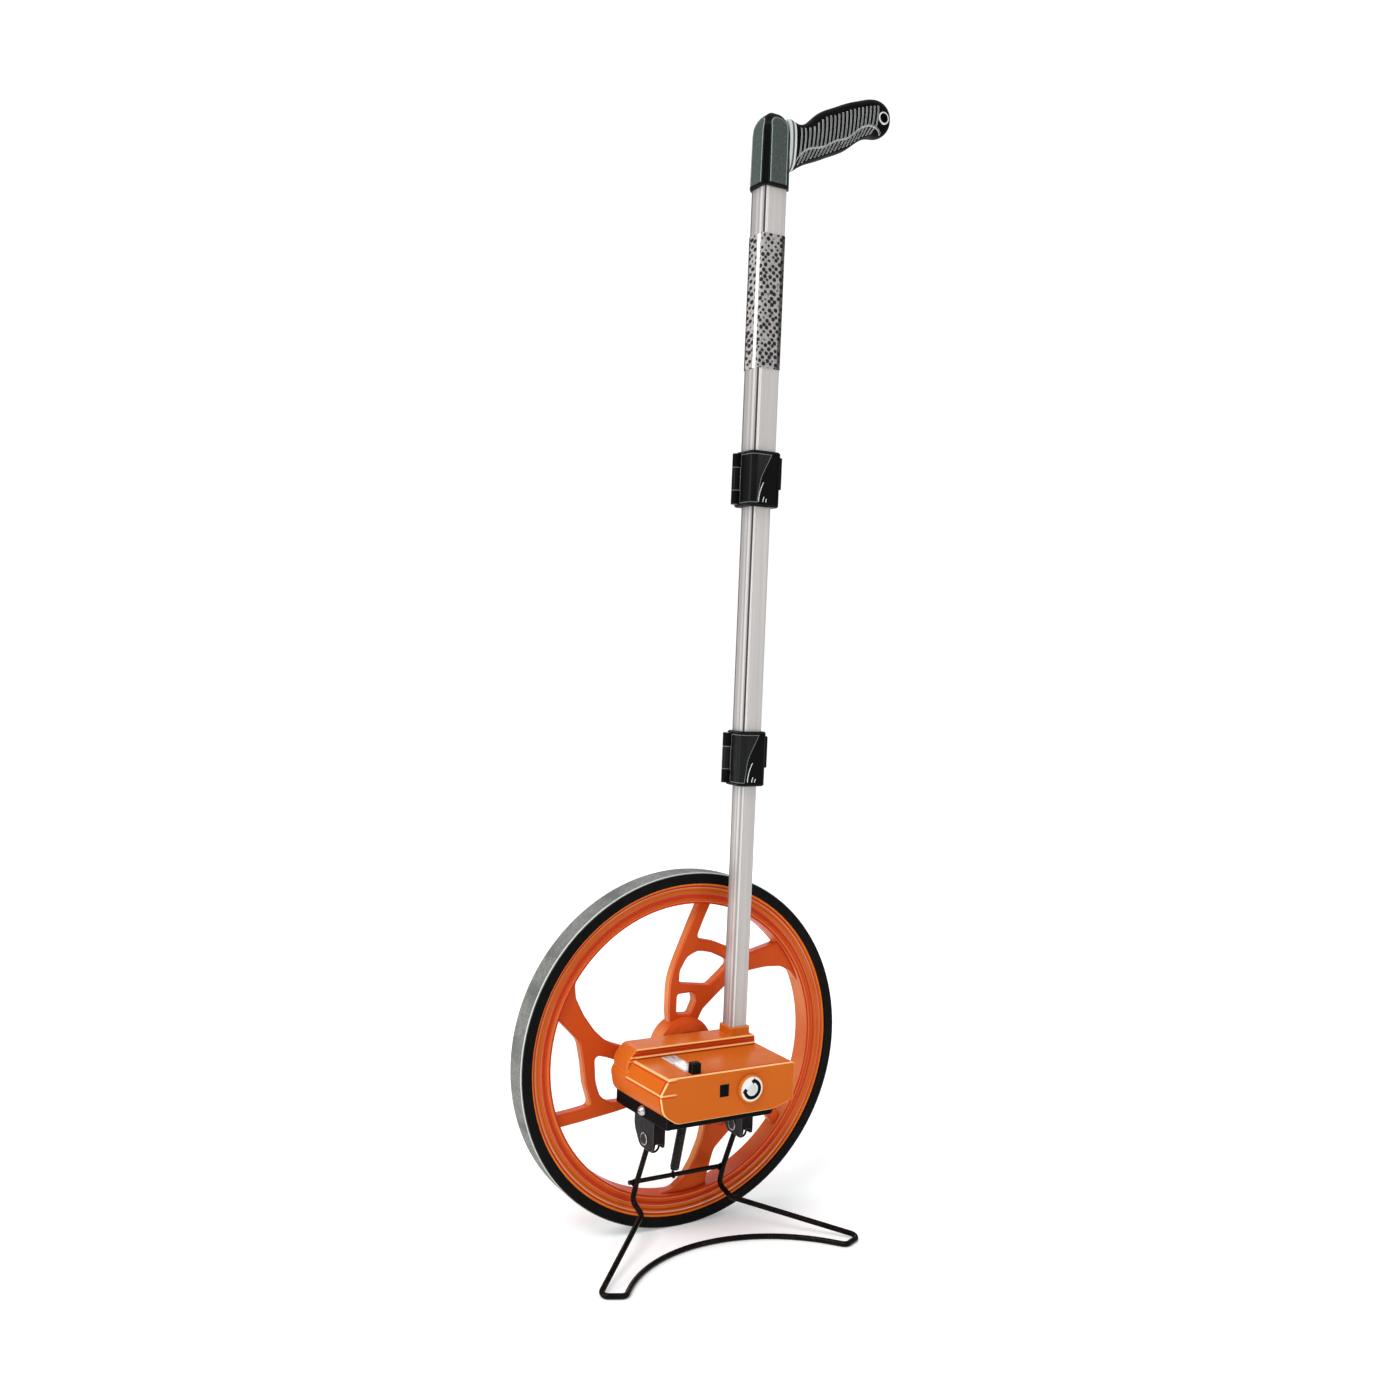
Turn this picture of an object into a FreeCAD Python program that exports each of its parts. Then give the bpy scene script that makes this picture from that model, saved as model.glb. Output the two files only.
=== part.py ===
import FreeCAD, Part
import math
import os

# Measuring wheel, in millimetres.
# Frame: +Z up, origin on the floor under the middle of the tyre. The wheel rolls along X and the
# grip points to +X, towards the person who pushes it. The counter box and the stand are on -Y.

# ---- driving dimensions -------------------------------------------------------------------------
WHEEL_RADIUS = 1000.0 / (2 * math.pi)      # one turn measures one metre
TYRE_WIDTH = 26.0
TYRE_DEPTH = 9.8
RIM_INNER_RADIUS = 131.0
SPOKE_HALF_DEPTH = 5.2
HUB_RADIUS = 28.5
HUB_HALF_WIDTH = 13.5

AXLE_RADIUS = 5.0
AXLE_THREAD_RADIUS = 3.5
AXLE_FRONT_Y = -66.5
AXLE_BACK_Y = 17.5
CLIP_GROOVE_Y = (15.2, 16.2)
CLIP_GROOVE_DEPTH = 0.6
BUSH_RADIUS = 7.5
BUSH_LENGTH = 10.0

BOX_FRONT_Y = -100.0
BOX_BACK_Y = -18.0
BOX_TOP_Z = 167.5
BOX_BOTTOM_Z = 129.0
BOX_WALL = 2.2
FRONT_WALL = 2.5
RIDGE_FRONT_Y = -43.2
RIDGE_TOP_Z = 176.5
BASE_BOTTOM_Z = 124.5
BASE_FLOOR_Z = 127.0

POLE_X = 35.7
POLE_Y = -32.5
TUBE_SIDES = {"lower": 16.2, "middle": 19.4, "upper": 22.9}
TUBE_WALLS = {"lower": 1.4, "middle": 1.3, "upper": 1.4}
TUBE_CORNER = 2.0
SOCKET_SIDE = 20.6
SOCKET_TOP_Z = 184.0
SOCKET_BOTTOM_Z = 150.0
TUBE_PIN_Z = 158.0
TUBE_PIN_RADIUS = 1.5
LOWER_TUBE_Z = (134.5, 476.0)
MIDDLE_TUBE_Z = (406.0, 706.0)
UPPER_TUBE_Z = (650.0, 932.0)
CLAMP_HEIGHT = 48.0
LOWER_CLAMP_Z = 398.0
UPPER_CLAMP_Z = 642.0
CLAMP_WALL = 4.2
TAPE_Z = (761.5, 876.5)
TAPE_THICKNESS = 0.6

CAP_HALF_SIDE = 13.9
CAP_CORNER = 4.2
CAP_Z = (916.5, 982.5)
EYELET_X = 146.6
EYELET_Z = 1000.5
EYELET_BORE_RADIUS = 4.0
EYELET_RADIUS = 5.4
EYELET_HALF_LENGTH = 12.8

GEAR_TEETH = 30
GEAR_MODULE = 0.8
GEAR_BACKLASH = 0.12
GEAR_Y = (-28.0, -22.0)
COUNTER_X = -38.5
COUNTER_Z = 152.9
NUMBER_WHEELS = 5
NUMBER_RADIUS = 11.0
NUMBER_WIDTH = 7.8
NUMBER_PITCH = 8.2
FIRST_NUMBER_Y = -51.1
SHAFT_RADIUS = 2.0
RUNNING_CLEARANCE = 0.05

KNOB_X = 10.9
KNOB_Z = 150.7
KNOB_RADIUS = 11.6
KNOB_FACE_RADIUS = 10.4
BUTTON_X = -39.0
BUTTON_Y = -92.4
BUTTON_Z = (163.0, 176.5)

STAND_X = -5.5
STAND_HALF = 44.0
WIRE_RADIUS = 2.4
PIVOT_Y = -40.0
PIVOT_Z = 97.0
PIN_RADIUS = 2.5
CROSSBAR_Y = -22.5
CROSSBAR_Z = 50.8
CROSSBAR_RADIUS = 2.0
SPRING_X = -12.5

X_AXIS = FreeCAD.Vector(1, 0, 0)
Y_AXIS = FreeCAD.Vector(0, 1, 0)
Z_AXIS = FreeCAD.Vector(0, 0, 1)
HUB_CENTRE = FreeCAD.Vector(0, 0, WHEEL_RADIUS)


# ---- helpers ------------------------------------------------------------------------------------
def save(name, shape, merge_faces=True):
    """Write one node's solids to its STEP file."""
    if merge_faces:
        shape = shape.removeSplitter()
    if not shape.isValid() or not shape.Solids:
        raise ValueError(name + " is not a valid solid")
    print(name, len(shape.Solids), round(shape.Volume, 1))
    shape.exportStep("parts/" + name + ".step")


def group(shapes):
    """Join separate solids into one node without fusing them."""
    return Part.makeCompound(shapes)


def box(x0, x1, y0, y1, z0, z1):
    return Part.makeBox(x1 - x0, y1 - y0, z1 - z0, FreeCAD.Vector(x0, y0, z0))


def rod(centre, radius, start, end, axis="y"):
    """A cylinder along one axis from start to end; centre gives the other two coordinates."""
    a, b = centre
    if axis == "x":
        return Part.makeCylinder(radius, end - start, FreeCAD.Vector(start, a, b), X_AXIS)
    if axis == "y":
        return Part.makeCylinder(radius, end - start, FreeCAD.Vector(a, start, b), Y_AXIS)
    return Part.makeCylinder(radius, end - start, FreeCAD.Vector(a, b, start), Z_AXIS)


def rounded_edges(points, radii, closed=True):
    """Straight edges through the points, with an arc of the given radius at each corner."""
    count = len(points)
    entries = []
    exits = []
    middles = []
    for index in range(count):
        corner = points[index]
        is_end = not closed and index in (0, count - 1)
        if is_end or radii[index] == 0:
            entries.append(corner)
            exits.append(corner)
            middles.append(None)
            continue
        back = (points[index - 1] - corner).normalize()
        ahead = (points[(index + 1) % count] - corner).normalize()
        half_angle = back.getAngle(ahead) / 2
        cut = radii[index] / math.tan(half_angle)
        inwards = (back + ahead).normalize()
        centre = corner + inwards * (radii[index] / math.sin(half_angle))
        entries.append(corner + back * cut)
        exits.append(corner + ahead * cut)
        middles.append(centre - inwards * radii[index])
    edges = []
    for index in range(count):
        if middles[index] is not None:
            edges.append(Part.Arc(entries[index], middles[index], exits[index]).toShape())
        if not closed and index == count - 1:
            break
        following = (index + 1) % count
        if (entries[following] - exits[index]).Length > 1e-4:
            edges.append(Part.LineSegment(exits[index], entries[following]).toShape())
    return edges


def side_face(outline, y):
    """A flat face in the XZ plane at y. The outline lists (x, z, corner radius)."""
    points = [FreeCAD.Vector(x, y, z) for x, z, radius in outline]
    radii = [radius for x, z, radius in outline]
    return Part.Face(Part.Wire(rounded_edges(points, radii)))


def side_plate(outline, y0, y1):
    """A plate of that outline, standing in the XZ plane from y0 to y1."""
    return side_face(outline, y0).extrude(FreeCAD.Vector(0, y1 - y0, 0))


def end_plate(outline, x0, x1):
    """A plate standing in the YZ plane from x0 to x1. The outline lists (y, z, corner radius)."""
    points = [FreeCAD.Vector(x0, y, z) for y, z, radius in outline]
    radii = [radius for y, z, radius in outline]
    face = Part.Face(Part.Wire(rounded_edges(points, radii)))
    return face.extrude(FreeCAD.Vector(x1 - x0, 0, 0))


def square_bar(side, corner, z0, z1):
    """A solid square bar with rounded corners, standing on the pole's line."""
    half = side / 2
    signs = ((-1, -1), (1, -1), (1, 1), (-1, 1))
    points = [FreeCAD.Vector(POLE_X + a * half, POLE_Y + b * half, z0) for a, b in signs]
    face = Part.Face(Part.Wire(rounded_edges(points, [corner] * 4)))
    return face.extrude(FreeCAD.Vector(0, 0, z1 - z0))


def revolve_about_axle(profile):
    """Turn a closed (radius, y) profile about the wheel's axle."""
    points = [FreeCAD.Vector(radius, y, WHEEL_RADIUS) for radius, y in profile]
    face = Part.Face(Part.makePolygon(points + points[:1]))
    return face.revolve(HUB_CENTRE, Y_AXIS, 360)


def bevel(solid, size, is_wanted):
    """Chamfer the edges that is_wanted picks."""
    return solid.makeChamfer(size, [edge for edge in solid.Edges if is_wanted(edge)])


def in_plane(axis, value):
    """Pick edges that lie in the plane where that coordinate has that value."""
    def test(edge):
        return all(abs(getattr(vertex.Point, axis) - value) < 1e-6 for vertex in edge.Vertexes)
    return test


# ---- wheel --------------------------------------------------------------------------------------
RIM_EDGE_RADIUS = WHEEL_RADIUS - TYRE_DEPTH
TYRE_SEAT_RADIUS = RIM_EDGE_RADIUS - 3.2
TYRE_SEAT_HALF = 7.0

# One cluster of two spokes, as (x, z, corner radius) from the wheel's centre.
CLUSTER_OUTLINE = [
    (-13, 4, 0), (-16.5, 34, 30), (-16.8, 62, 60), (-9.5, 82, 60), (4, 114, 90), (13, 134, 0),
    (25, 139, 0), (70, 122, 0), (108, 89, 0), (125, 50, 0), (121, 50, 4), (112, 60.5, 10),
    (101, 65.3, 16), (84, 66, 30), (66, 64, 40), (50, 59, 40), (33, 45, 40), (19, 33, 14),
    (14.5, 24, 8), (14, 4, 0),
]
CLUSTER_HOLES = [
    [(-8, 49, 3), (8.5, 49.5, 3), (10.4, 41, 4), (5.5, 30, 3), (-8, 31, 3)],
    [(-6.5, 58.5, 4), (-6, 70, 10), (1, 82, 10), (12, 86.8, 12), (26, 84, 30), (47, 74, 4),
     (38, 65.5, 20), (24.5, 54.5, 6)],
    [(9.5, 98, 4), (16, 114, 12), (28, 140, 0), (108, 105, 0), (94, 87.5, 6), (66, 80.5, 16),
     (46, 87, 20), (30, 93.5, 20)],
]
# Steps of the rim's face, as (radius, half width), from the inner lip to the tyre's edge.
RIM_STEPS = [
    (RIM_INNER_RADIUS, 9.6), (133.2, 9.6), (133.8, 8.4), (136.6, 8.4), (137.2, 9.4), (139.0, 9.4),
    (139.6, 8.6), (142.8, 8.6), (143.4, 10.0), (146.6, 10.0), (147.2, 10.8), (RIM_EDGE_RADIUS, 10.8),
]


def lifted(outline):
    """Move an outline from the wheel's centre to its height above the floor."""
    return [(x, z + WHEEL_RADIUS, radius) for x, z, radius in outline]


def make_wheel_rim():
    front = [(radius, -half) for radius, half in RIM_STEPS]
    back = [(radius, half) for radius, half in reversed(RIM_STEPS)]
    seat = [
        (RIM_EDGE_RADIUS, -TYRE_SEAT_HALF), (TYRE_SEAT_RADIUS, -TYRE_SEAT_HALF),
        (TYRE_SEAT_RADIUS, TYRE_SEAT_HALF), (RIM_EDGE_RADIUS, TYRE_SEAT_HALF),
    ]
    rim = revolve_about_axle(front + seat + back)
    plate = side_plate(lifted(CLUSTER_OUTLINE), -SPOKE_HALF_DEPTH, SPOKE_HALF_DEPTH)
    reach = rod((0, WHEEL_RADIUS), RIM_INNER_RADIUS + 0.6, -30, 30)
    for hole in CLUSTER_HOLES:
        cutter = side_plate(lifted(hole), -30, 30)
        plate = plate.cut(cutter.common(reach))
    for side in (-SPOKE_HALF_DEPTH, SPOKE_HALF_DEPTH):
        plate = bevel(plate, 1.3, in_plane("y", side))
    hub = revolve_about_axle([
        (BUSH_RADIUS, -HUB_HALF_WIDTH), (18, -HUB_HALF_WIDTH), (24, -11.5), (27.5, -9),
        (HUB_RADIUS, -6), (HUB_RADIUS, 6), (27.5, 9), (24, 11.5), (18, HUB_HALF_WIDTH),
        (BUSH_RADIUS, HUB_HALF_WIDTH),
    ])
    bore = rod((0, WHEEL_RADIUS), BUSH_RADIUS, -30, 30)
    for turn in range(3):
        spokes = plate.copy()
        spokes.rotate(HUB_CENTRE, Y_AXIS, -120 * turn)
        rim = rim.fuse(spokes)
    return rim.fuse(hub).cut(bore)


def make_tyre():
    """A solid tyre with a plain tread and turned shoulders."""
    half = TYRE_WIDTH / 2
    front = [
        (RIM_EDGE_RADIUS, -half), (WHEEL_RADIUS - 2.2, -half), (WHEEL_RADIUS - 0.7, -half + 0.7),
        (WHEEL_RADIUS, -half + 2.4),
    ]
    back = [(radius, -y) for radius, y in reversed(front)]
    seat = [
        (RIM_EDGE_RADIUS, TYRE_SEAT_HALF), (TYRE_SEAT_RADIUS, TYRE_SEAT_HALF),
        (TYRE_SEAT_RADIUS, -TYRE_SEAT_HALF), (RIM_EDGE_RADIUS, -TYRE_SEAT_HALF),
    ]
    return revolve_about_axle(front + back + seat)


def make_hub_bushes():
    bushes = []
    bore = AXLE_RADIUS + RUNNING_CLEARANCE
    for start in (-HUB_HALF_WIDTH, HUB_HALF_WIDTH - BUSH_LENGTH):
        end = start + BUSH_LENGTH
        outer = rod((0, WHEEL_RADIUS), BUSH_RADIUS, start, end)
        bushes.append(outer.cut(rod((0, WHEEL_RADIUS), bore, start - 1, end + 1)))
    return group(bushes)


def make_hub_cap():
    return revolve_about_axle([
        (13.5, HUB_HALF_WIDTH), (16.5, HUB_HALF_WIDTH), (16.5, 16), (15, 19), (11, 20.6), (4, 21.2),
        (0, 21.2), (0, 19.4), (10, 19), (13.5, 17),
    ])


# ---- counter gears ------------------------------------------------------------------------------
PITCH_RADIUS = GEAR_TEETH * GEAR_MODULE / 2
GEAR_SPACING = 2 * PITCH_RADIUS + 0.06
PRESSURE_ANGLE = math.radians(20)


def idler_centre():
    """The idler meshes with both gears and hangs below the line that joins them."""
    span = math.hypot(COUNTER_X, COUNTER_Z - WHEEL_RADIUS)
    drop = math.sqrt(GEAR_SPACING ** 2 - (span / 2) ** 2)
    along = (COUNTER_X / span, (COUNTER_Z - WHEEL_RADIUS) / span)
    middle = (COUNTER_X / 2, (COUNTER_Z + WHEEL_RADIUS) / 2)
    return (middle[0] - along[1] * drop, middle[1] + along[0] * drop)


def meshing_phase(from_centre, from_phase, to_centre):
    """The angle of a tooth of the second gear, so that its gap meets the first gear's tooth."""
    heading = math.atan2(to_centre[1] - from_centre[1], to_centre[0] - from_centre[0])
    pitch = 2 * math.pi / GEAR_TEETH
    offset = (heading - from_phase) / pitch
    return heading + math.pi - (0.5 - offset) * pitch


def involute(angle):
    return math.tan(angle) - angle


def gear_blank(centre, phase):
    """A spur gear with involute flanks; phase is the angle of one tooth's middle."""
    base = PITCH_RADIUS * math.cos(PRESSURE_ANGLE)
    tip = PITCH_RADIUS + 0.9 * GEAR_MODULE
    root = PITCH_RADIUS - 1.2 * GEAR_MODULE
    half_tooth = math.pi / (2 * GEAR_TEETH) - GEAR_BACKLASH / PITCH_RADIUS / 2
    flank = []
    for step in range(5):
        radius = base + (tip - base) * step / 4
        pressure = math.acos(base / radius)
        flank.append((radius, half_tooth + involute(PRESSURE_ANGLE) - involute(pressure)))
    flank.insert(0, (root, flank[0][1]))
    points = []
    for tooth in range(GEAR_TEETH):
        middle = phase + tooth * 2 * math.pi / GEAR_TEETH
        turns = [(radius, middle - angle) for radius, angle in flank]
        turns += [(radius, middle + angle) for radius, angle in reversed(flank)]
        for radius, angle in turns:
            x = centre[0] + radius * math.cos(angle)
            z = centre[1] + radius * math.sin(angle)
            points.append(FreeCAD.Vector(x, GEAR_Y[0], z))
    face = Part.Face(Part.makePolygon(points + points[:1]))
    return face.extrude(FreeCAD.Vector(0, GEAR_Y[1] - GEAR_Y[0], 0))


DRIVE_CENTRE = (0.0, WHEEL_RADIUS)
COUNTER_CENTRE = (COUNTER_X, COUNTER_Z)
IDLER_CENTRE = idler_centre()
IDLER_PHASE = meshing_phase(DRIVE_CENTRE, 0.0, IDLER_CENTRE)
COUNTER_PHASE = meshing_phase(IDLER_CENTRE, IDLER_PHASE, COUNTER_CENTRE)
GEAR_SLEEVE_RADIUS = 9.5
COUNTER_SLEEVE_RADIUS = 4.0


def make_drive_gear():
    gear = gear_blank(DRIVE_CENTRE, 0.0)
    gear = gear.fuse(rod(DRIVE_CENTRE, GEAR_SLEEVE_RADIUS, GEAR_Y[1], -HUB_HALF_WIDTH))
    return gear.cut(rod(DRIVE_CENTRE, AXLE_RADIUS + 0.5, -40, 0))


def make_idler_gear():
    gear = gear_blank(IDLER_CENTRE, IDLER_PHASE)
    gear = gear.fuse(rod(IDLER_CENTRE, 4.0, GEAR_Y[0] - 1.5, GEAR_Y[1] + 0.5))
    return gear.cut(rod(IDLER_CENTRE, SHAFT_RADIUS + RUNNING_CLEARANCE, -40, 0))


def make_counter_gear():
    gear = gear_blank(COUNTER_CENTRE, COUNTER_PHASE)
    sleeve_end = FIRST_NUMBER_Y + NUMBER_WIDTH / 2
    gear = gear.fuse(rod(COUNTER_CENTRE, COUNTER_SLEEVE_RADIUS, sleeve_end, GEAR_Y[0]))
    return gear.cut(rod(COUNTER_CENTRE, SHAFT_RADIUS + RUNNING_CLEARANCE, -99, 0))


def make_number_wheel(index):
    """A printed drum with a thin rim at each side."""
    middle = FIRST_NUMBER_Y - index * NUMBER_PITCH
    start = middle - NUMBER_WIDTH / 2
    end = middle + NUMBER_WIDTH / 2
    drum = rod(COUNTER_CENTRE, NUMBER_RADIUS, start, end)
    ring = rod(COUNTER_CENTRE, NUMBER_RADIUS + 1, start + 0.6, end - 0.6)
    drum = drum.cut(ring.cut(rod(COUNTER_CENTRE, NUMBER_RADIUS - 0.3, start, end)))
    return drum.cut(rod(COUNTER_CENTRE, SHAFT_RADIUS + RUNNING_CLEARANCE, start - 1, end + 1))


# ---- axle and counter frame ---------------------------------------------------------------------
FRAME_REAR_Y = (-33.5, -31.5)
FRAME_AXLE_Y = (-62.0, -60.0)
FRAME_FRONT_Y = (-94.0, -92.0)
FRAME_FOOT_Z = (127.0, 129.0)


def make_axle():
    axle = rod(DRIVE_CENTRE, AXLE_RADIUS, FRAME_AXLE_Y[1], AXLE_BACK_Y)
    axle = axle.fuse(rod(DRIVE_CENTRE, AXLE_THREAD_RADIUS, AXLE_FRONT_Y, FRAME_AXLE_Y[1]))
    axle = bevel(axle, 0.6, in_plane("y", AXLE_BACK_Y))
    groove = rod(DRIVE_CENTRE, AXLE_RADIUS + 1, *CLIP_GROOVE_Y)
    groove = groove.cut(rod(DRIVE_CENTRE, AXLE_RADIUS - CLIP_GROOVE_DEPTH, 15, 17))
    return axle.cut(groove)


def make_axle_clip():
    ring = rod(DRIVE_CENTRE, AXLE_RADIUS + 2.2, *CLIP_GROOVE_Y)
    ring = ring.cut(rod(DRIVE_CENTRE, AXLE_RADIUS - CLIP_GROOVE_DEPTH, 15, 17))
    return ring.cut(box(-3, 3, 15, 17, WHEEL_RADIUS, WHEEL_RADIUS + 9))


def make_axle_washers():
    washers = []
    spans = (
        (FRAME_REAR_Y[1], GEAR_Y[0] - 0.3),
        (HUB_HALF_WIDTH + 0.3, CLIP_GROOVE_Y[0]),
    )
    for start, end in spans:
        disc = rod(DRIVE_CENTRE, 8.5, start, end)
        washers.append(disc.cut(rod(DRIVE_CENTRE, AXLE_RADIUS, start - 1, end + 1)))
    return group(washers)


def make_axle_nut():
    """A six-sided nut on the axle's threaded end."""
    corner_radius = 6.0
    points = []
    for corner in range(6):
        angle = math.radians(60 * corner)
        x = corner_radius * math.cos(angle)
        z = WHEEL_RADIUS + corner_radius * math.sin(angle)
        points.append((x, z, 0))
    nut = side_plate(points, FRAME_AXLE_Y[0] - 3.2, FRAME_AXLE_Y[0])
    return nut.cut(rod(DRIVE_CENTRE, AXLE_THREAD_RADIUS, -70, 0))


def make_counter_frame():
    left = -46.0
    rear = side_plate([
        (left, FRAME_FOOT_Z[0], 0), (13, FRAME_FOOT_Z[0], 0), (13, 166, 4), (-13, 166, 4),
        (-30, 163, 4), (left, 163, 4),
    ], *FRAME_REAR_Y)
    axle_plate = side_plate([
        (-13, FRAME_FOOT_Z[0], 0), (13, FRAME_FOOT_Z[0], 0), (13, 164.4, 5), (-13, 164.4, 5),
    ], *FRAME_AXLE_Y)
    front = side_plate([
        (left, FRAME_FOOT_Z[0], 0), (-31, FRAME_FOOT_Z[0], 0), (-31, 158, 4), (left, 158, 4),
    ], *FRAME_FRONT_Y)
    foot = box(left, 13, FRAME_FRONT_Y[0], FRAME_REAR_Y[1], *FRAME_FOOT_Z)
    frame = foot.fuse(rear).fuse(axle_plate).fuse(front)
    frame = frame.cut(rod(DRIVE_CENTRE, AXLE_RADIUS, FRAME_AXLE_Y[1], 0))
    frame = frame.cut(rod(DRIVE_CENTRE, AXLE_THREAD_RADIUS, -80, 0))
    frame = frame.cut(rod(COUNTER_CENTRE, COUNTER_SLEEVE_RADIUS + 0.4, -40, 0))
    frame = frame.cut(rod(COUNTER_CENTRE, SHAFT_RADIUS, -99, -90))
    return frame.cut(rod(IDLER_CENTRE, SHAFT_RADIUS, -40, 0))


def make_counter_shaft():
    return rod(COUNTER_CENTRE, SHAFT_RADIUS, FRAME_FRONT_Y[0] - 1.5, GEAR_Y[1] + 1.0)


def make_idler_pin():
    pin = rod(IDLER_CENTRE, SHAFT_RADIUS, FRAME_REAR_Y[0], GEAR_Y[1] + 1.0)
    return pin.fuse(rod(IDLER_CENTRE, 3.0, GEAR_Y[1] + 0.8, GEAR_Y[1] + 1.6))


# ---- counter housing and base -------------------------------------------------------------------
BOX_OUTLINE = [
    (-58, BOX_BOTTOM_Z, 12), (-71, 138, 14), (-74, 154, 7), (-66, BOX_TOP_Z, 4),
    (56, BOX_TOP_Z, 3), (56, 135, 4), (34, BOX_BOTTOM_Z, 3),
]
BOX_FLARE = 4.6
RIDGE_OUTLINE = [
    (-75.5, 152, 0), (-76, 166, 12), (-67, RIDGE_TOP_Z, 7), (51, RIDGE_TOP_Z, 3), (52, 160, 0),
]
BASE_FRONT_X = -66.0
BASE_REAR_X = -72.5
BASE_SCREWS = [(-60, -88), (26, -88), (-60, -28), (46, -62)]
SCREW_RADIUS = 1.5
SCREW_HEAD_RADIUS = 3.0
SCREW_HEAD_Z = BASE_BOTTOM_Z + 1.8
WINDOW = (-45.0, -32.0, -88.0, -47.0)
BUTTON_HALF = (4.2, 3.2)
MARK = (-18.6, -9.8, 146.5, 157.0)
HOUSING_HOLE_RADIUS = 14.0
SIDE_SCREW_Y = -61.5
SIDE_SCREW_Z = 130.4
SIDE_SCREW_RADIUS = 4.3
SIDE_SCREW_TIP_X = -65.5


def box_face(y):
    """The box's outline at y. Its left end flares out towards the wheel."""
    flare = BOX_FLARE * (y - BOX_FRONT_Y) / (BOX_BACK_Y - BOX_FRONT_Y)
    outline = []
    for x, z, radius in BOX_OUTLINE:
        outline.append((x - flare if x < 0 else x, z, radius))
    return side_face(outline, y)


def base_envelope():
    """The base with its turned-up left end and its pad under the right-hand bracket."""
    front_y = BOX_FRONT_Y + FRONT_WALL
    back_y = BOX_BACK_Y - 1
    main = side_plate([
        (BASE_REAR_X, 136.5, 0), (BASE_REAR_X, BASE_BOTTOM_Z, 2), (35, BASE_BOTTOM_Z, 2),
        (37.5, BOX_BOTTOM_Z, 0), (-64, BOX_BOTTOM_Z, 0), (-64, 136.5, 0),
    ], front_y, back_y)
    corners = [
        (BASE_REAR_X - 5, front_y - 1), (BASE_FRONT_X, front_y - 1), (BASE_REAR_X, back_y + 1),
        (BASE_REAR_X - 5, back_y + 1),
    ]
    points = [FreeCAD.Vector(x, y, BASE_BOTTOM_Z - 1) for x, y in corners]
    taper = Part.Face(Part.makePolygon(points + points[:1])).extrude(FreeCAD.Vector(0, 0, 20))
    pad = side_plate([
        (30, BASE_BOTTOM_Z, 0), (52, BASE_BOTTOM_Z, 2), (52, 133.9, 0), (34, BOX_BOTTOM_Z, 0),
        (30, BOX_BOTTOM_Z, 0),
    ], -70, back_y)
    return main.cut(taper).fuse(pad)


def make_counter_housing():
    inner_front = BOX_FRONT_Y + FRONT_WALL
    inner_back = BOX_BACK_Y - BOX_WALL
    ends = [box_face(y).OuterWire for y in (BOX_FRONT_Y, BOX_BACK_Y)]
    shell = Part.makeLoft(ends, True, True)
    front_edges = [edge for edge in shell.Edges if in_plane("y", BOX_FRONT_Y)(edge)]
    shell = shell.makeFillet(1.6, front_edges)
    ridge = side_plate(RIDGE_OUTLINE, RIDGE_FRONT_Y, BOX_BACK_Y)
    ridge = bevel(ridge, 0.8, in_plane("y", RIDGE_FRONT_Y))
    shell = shell.fuse(ridge)
    for height in (RIDGE_TOP_Z - 1.4, BOX_TOP_Z + 1.2):
        bead = rod((RIDGE_FRONT_Y, height), 0.9, -67.5, 50.0, "x")
        shell = shell.fuse(bead)
    ends = [box_face(y).makeOffset2D(-BOX_WALL).OuterWire for y in (inner_front, inner_back)]
    cavity = Part.makeLoft(ends, True, True)
    cavity = cavity.fuse(side_plate([
        (-70, 158, 0), (-66, RIDGE_TOP_Z - BOX_WALL, 8), (48.6, RIDGE_TOP_Z - BOX_WALL, 2),
        (49.6, 158, 0),
    ], RIDGE_FRONT_Y + BOX_WALL, inner_back))
    cavity = cavity.fuse(box(-64, 34, inner_front, inner_back, 120, 134))
    shell = shell.cut(cavity)
    socket = square_bar(SOCKET_SIDE, 2.5, SOCKET_BOTTOM_Z, SOCKET_TOP_Z)
    shell = shell.fuse(socket)
    for x, y in BASE_SCREWS:
        top = RIDGE_TOP_Z if y > RIDGE_FRONT_Y else BOX_TOP_Z
        foot = BOX_BOTTOM_Z + 5 if x > POLE_X else BOX_BOTTOM_Z
        shell = shell.fuse(rod((x, y), 4.0, foot, top - 1, "z"))
    shell = shell.cut(base_envelope())
    for x, y in BASE_SCREWS:
        shell = shell.cut(rod((x, y), SCREW_RADIUS, 120, 146, "z"))
    shell = shell.cut(square_bar(TUBE_SIDES["lower"], TUBE_CORNER, 120, 200))
    shell = shell.cut(rod((0, WHEEL_RADIUS), HOUSING_HOLE_RADIUS, -22, -10))
    shell = shell.cut(rod((POLE_X, TUBE_PIN_Z), TUBE_PIN_RADIUS, -60, BOX_BACK_Y - 3))
    x0, x1, y0, y1 = WINDOW
    shell = shell.cut(box(x0, x1, y0, y1, 160, 172))
    half_x, half_y = BUTTON_HALF
    shell = shell.cut(box(
        BUTTON_X - half_x - 0.3, BUTTON_X + half_x + 0.3, BUTTON_Y - half_y - 0.3,
        BUTTON_Y + half_y + 0.3, 160, 172))
    shell = shell.cut(rod((KNOB_X, KNOB_Z), 3.3, -110, -90))
    mark_left, mark_right, mark_low, mark_high = MARK
    shell = shell.cut(box(mark_left, mark_right, -110, -90, mark_low, mark_high))
    shell = shell.cut(rod((SIDE_SCREW_Y, SIDE_SCREW_Z), SIDE_SCREW_RADIUS + 0.3, -80, -68.5, "x"))
    return shell.cut(rod((SIDE_SCREW_Y, SIDE_SCREW_Z), SCREW_RADIUS, -80, -60, "x"))


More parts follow.
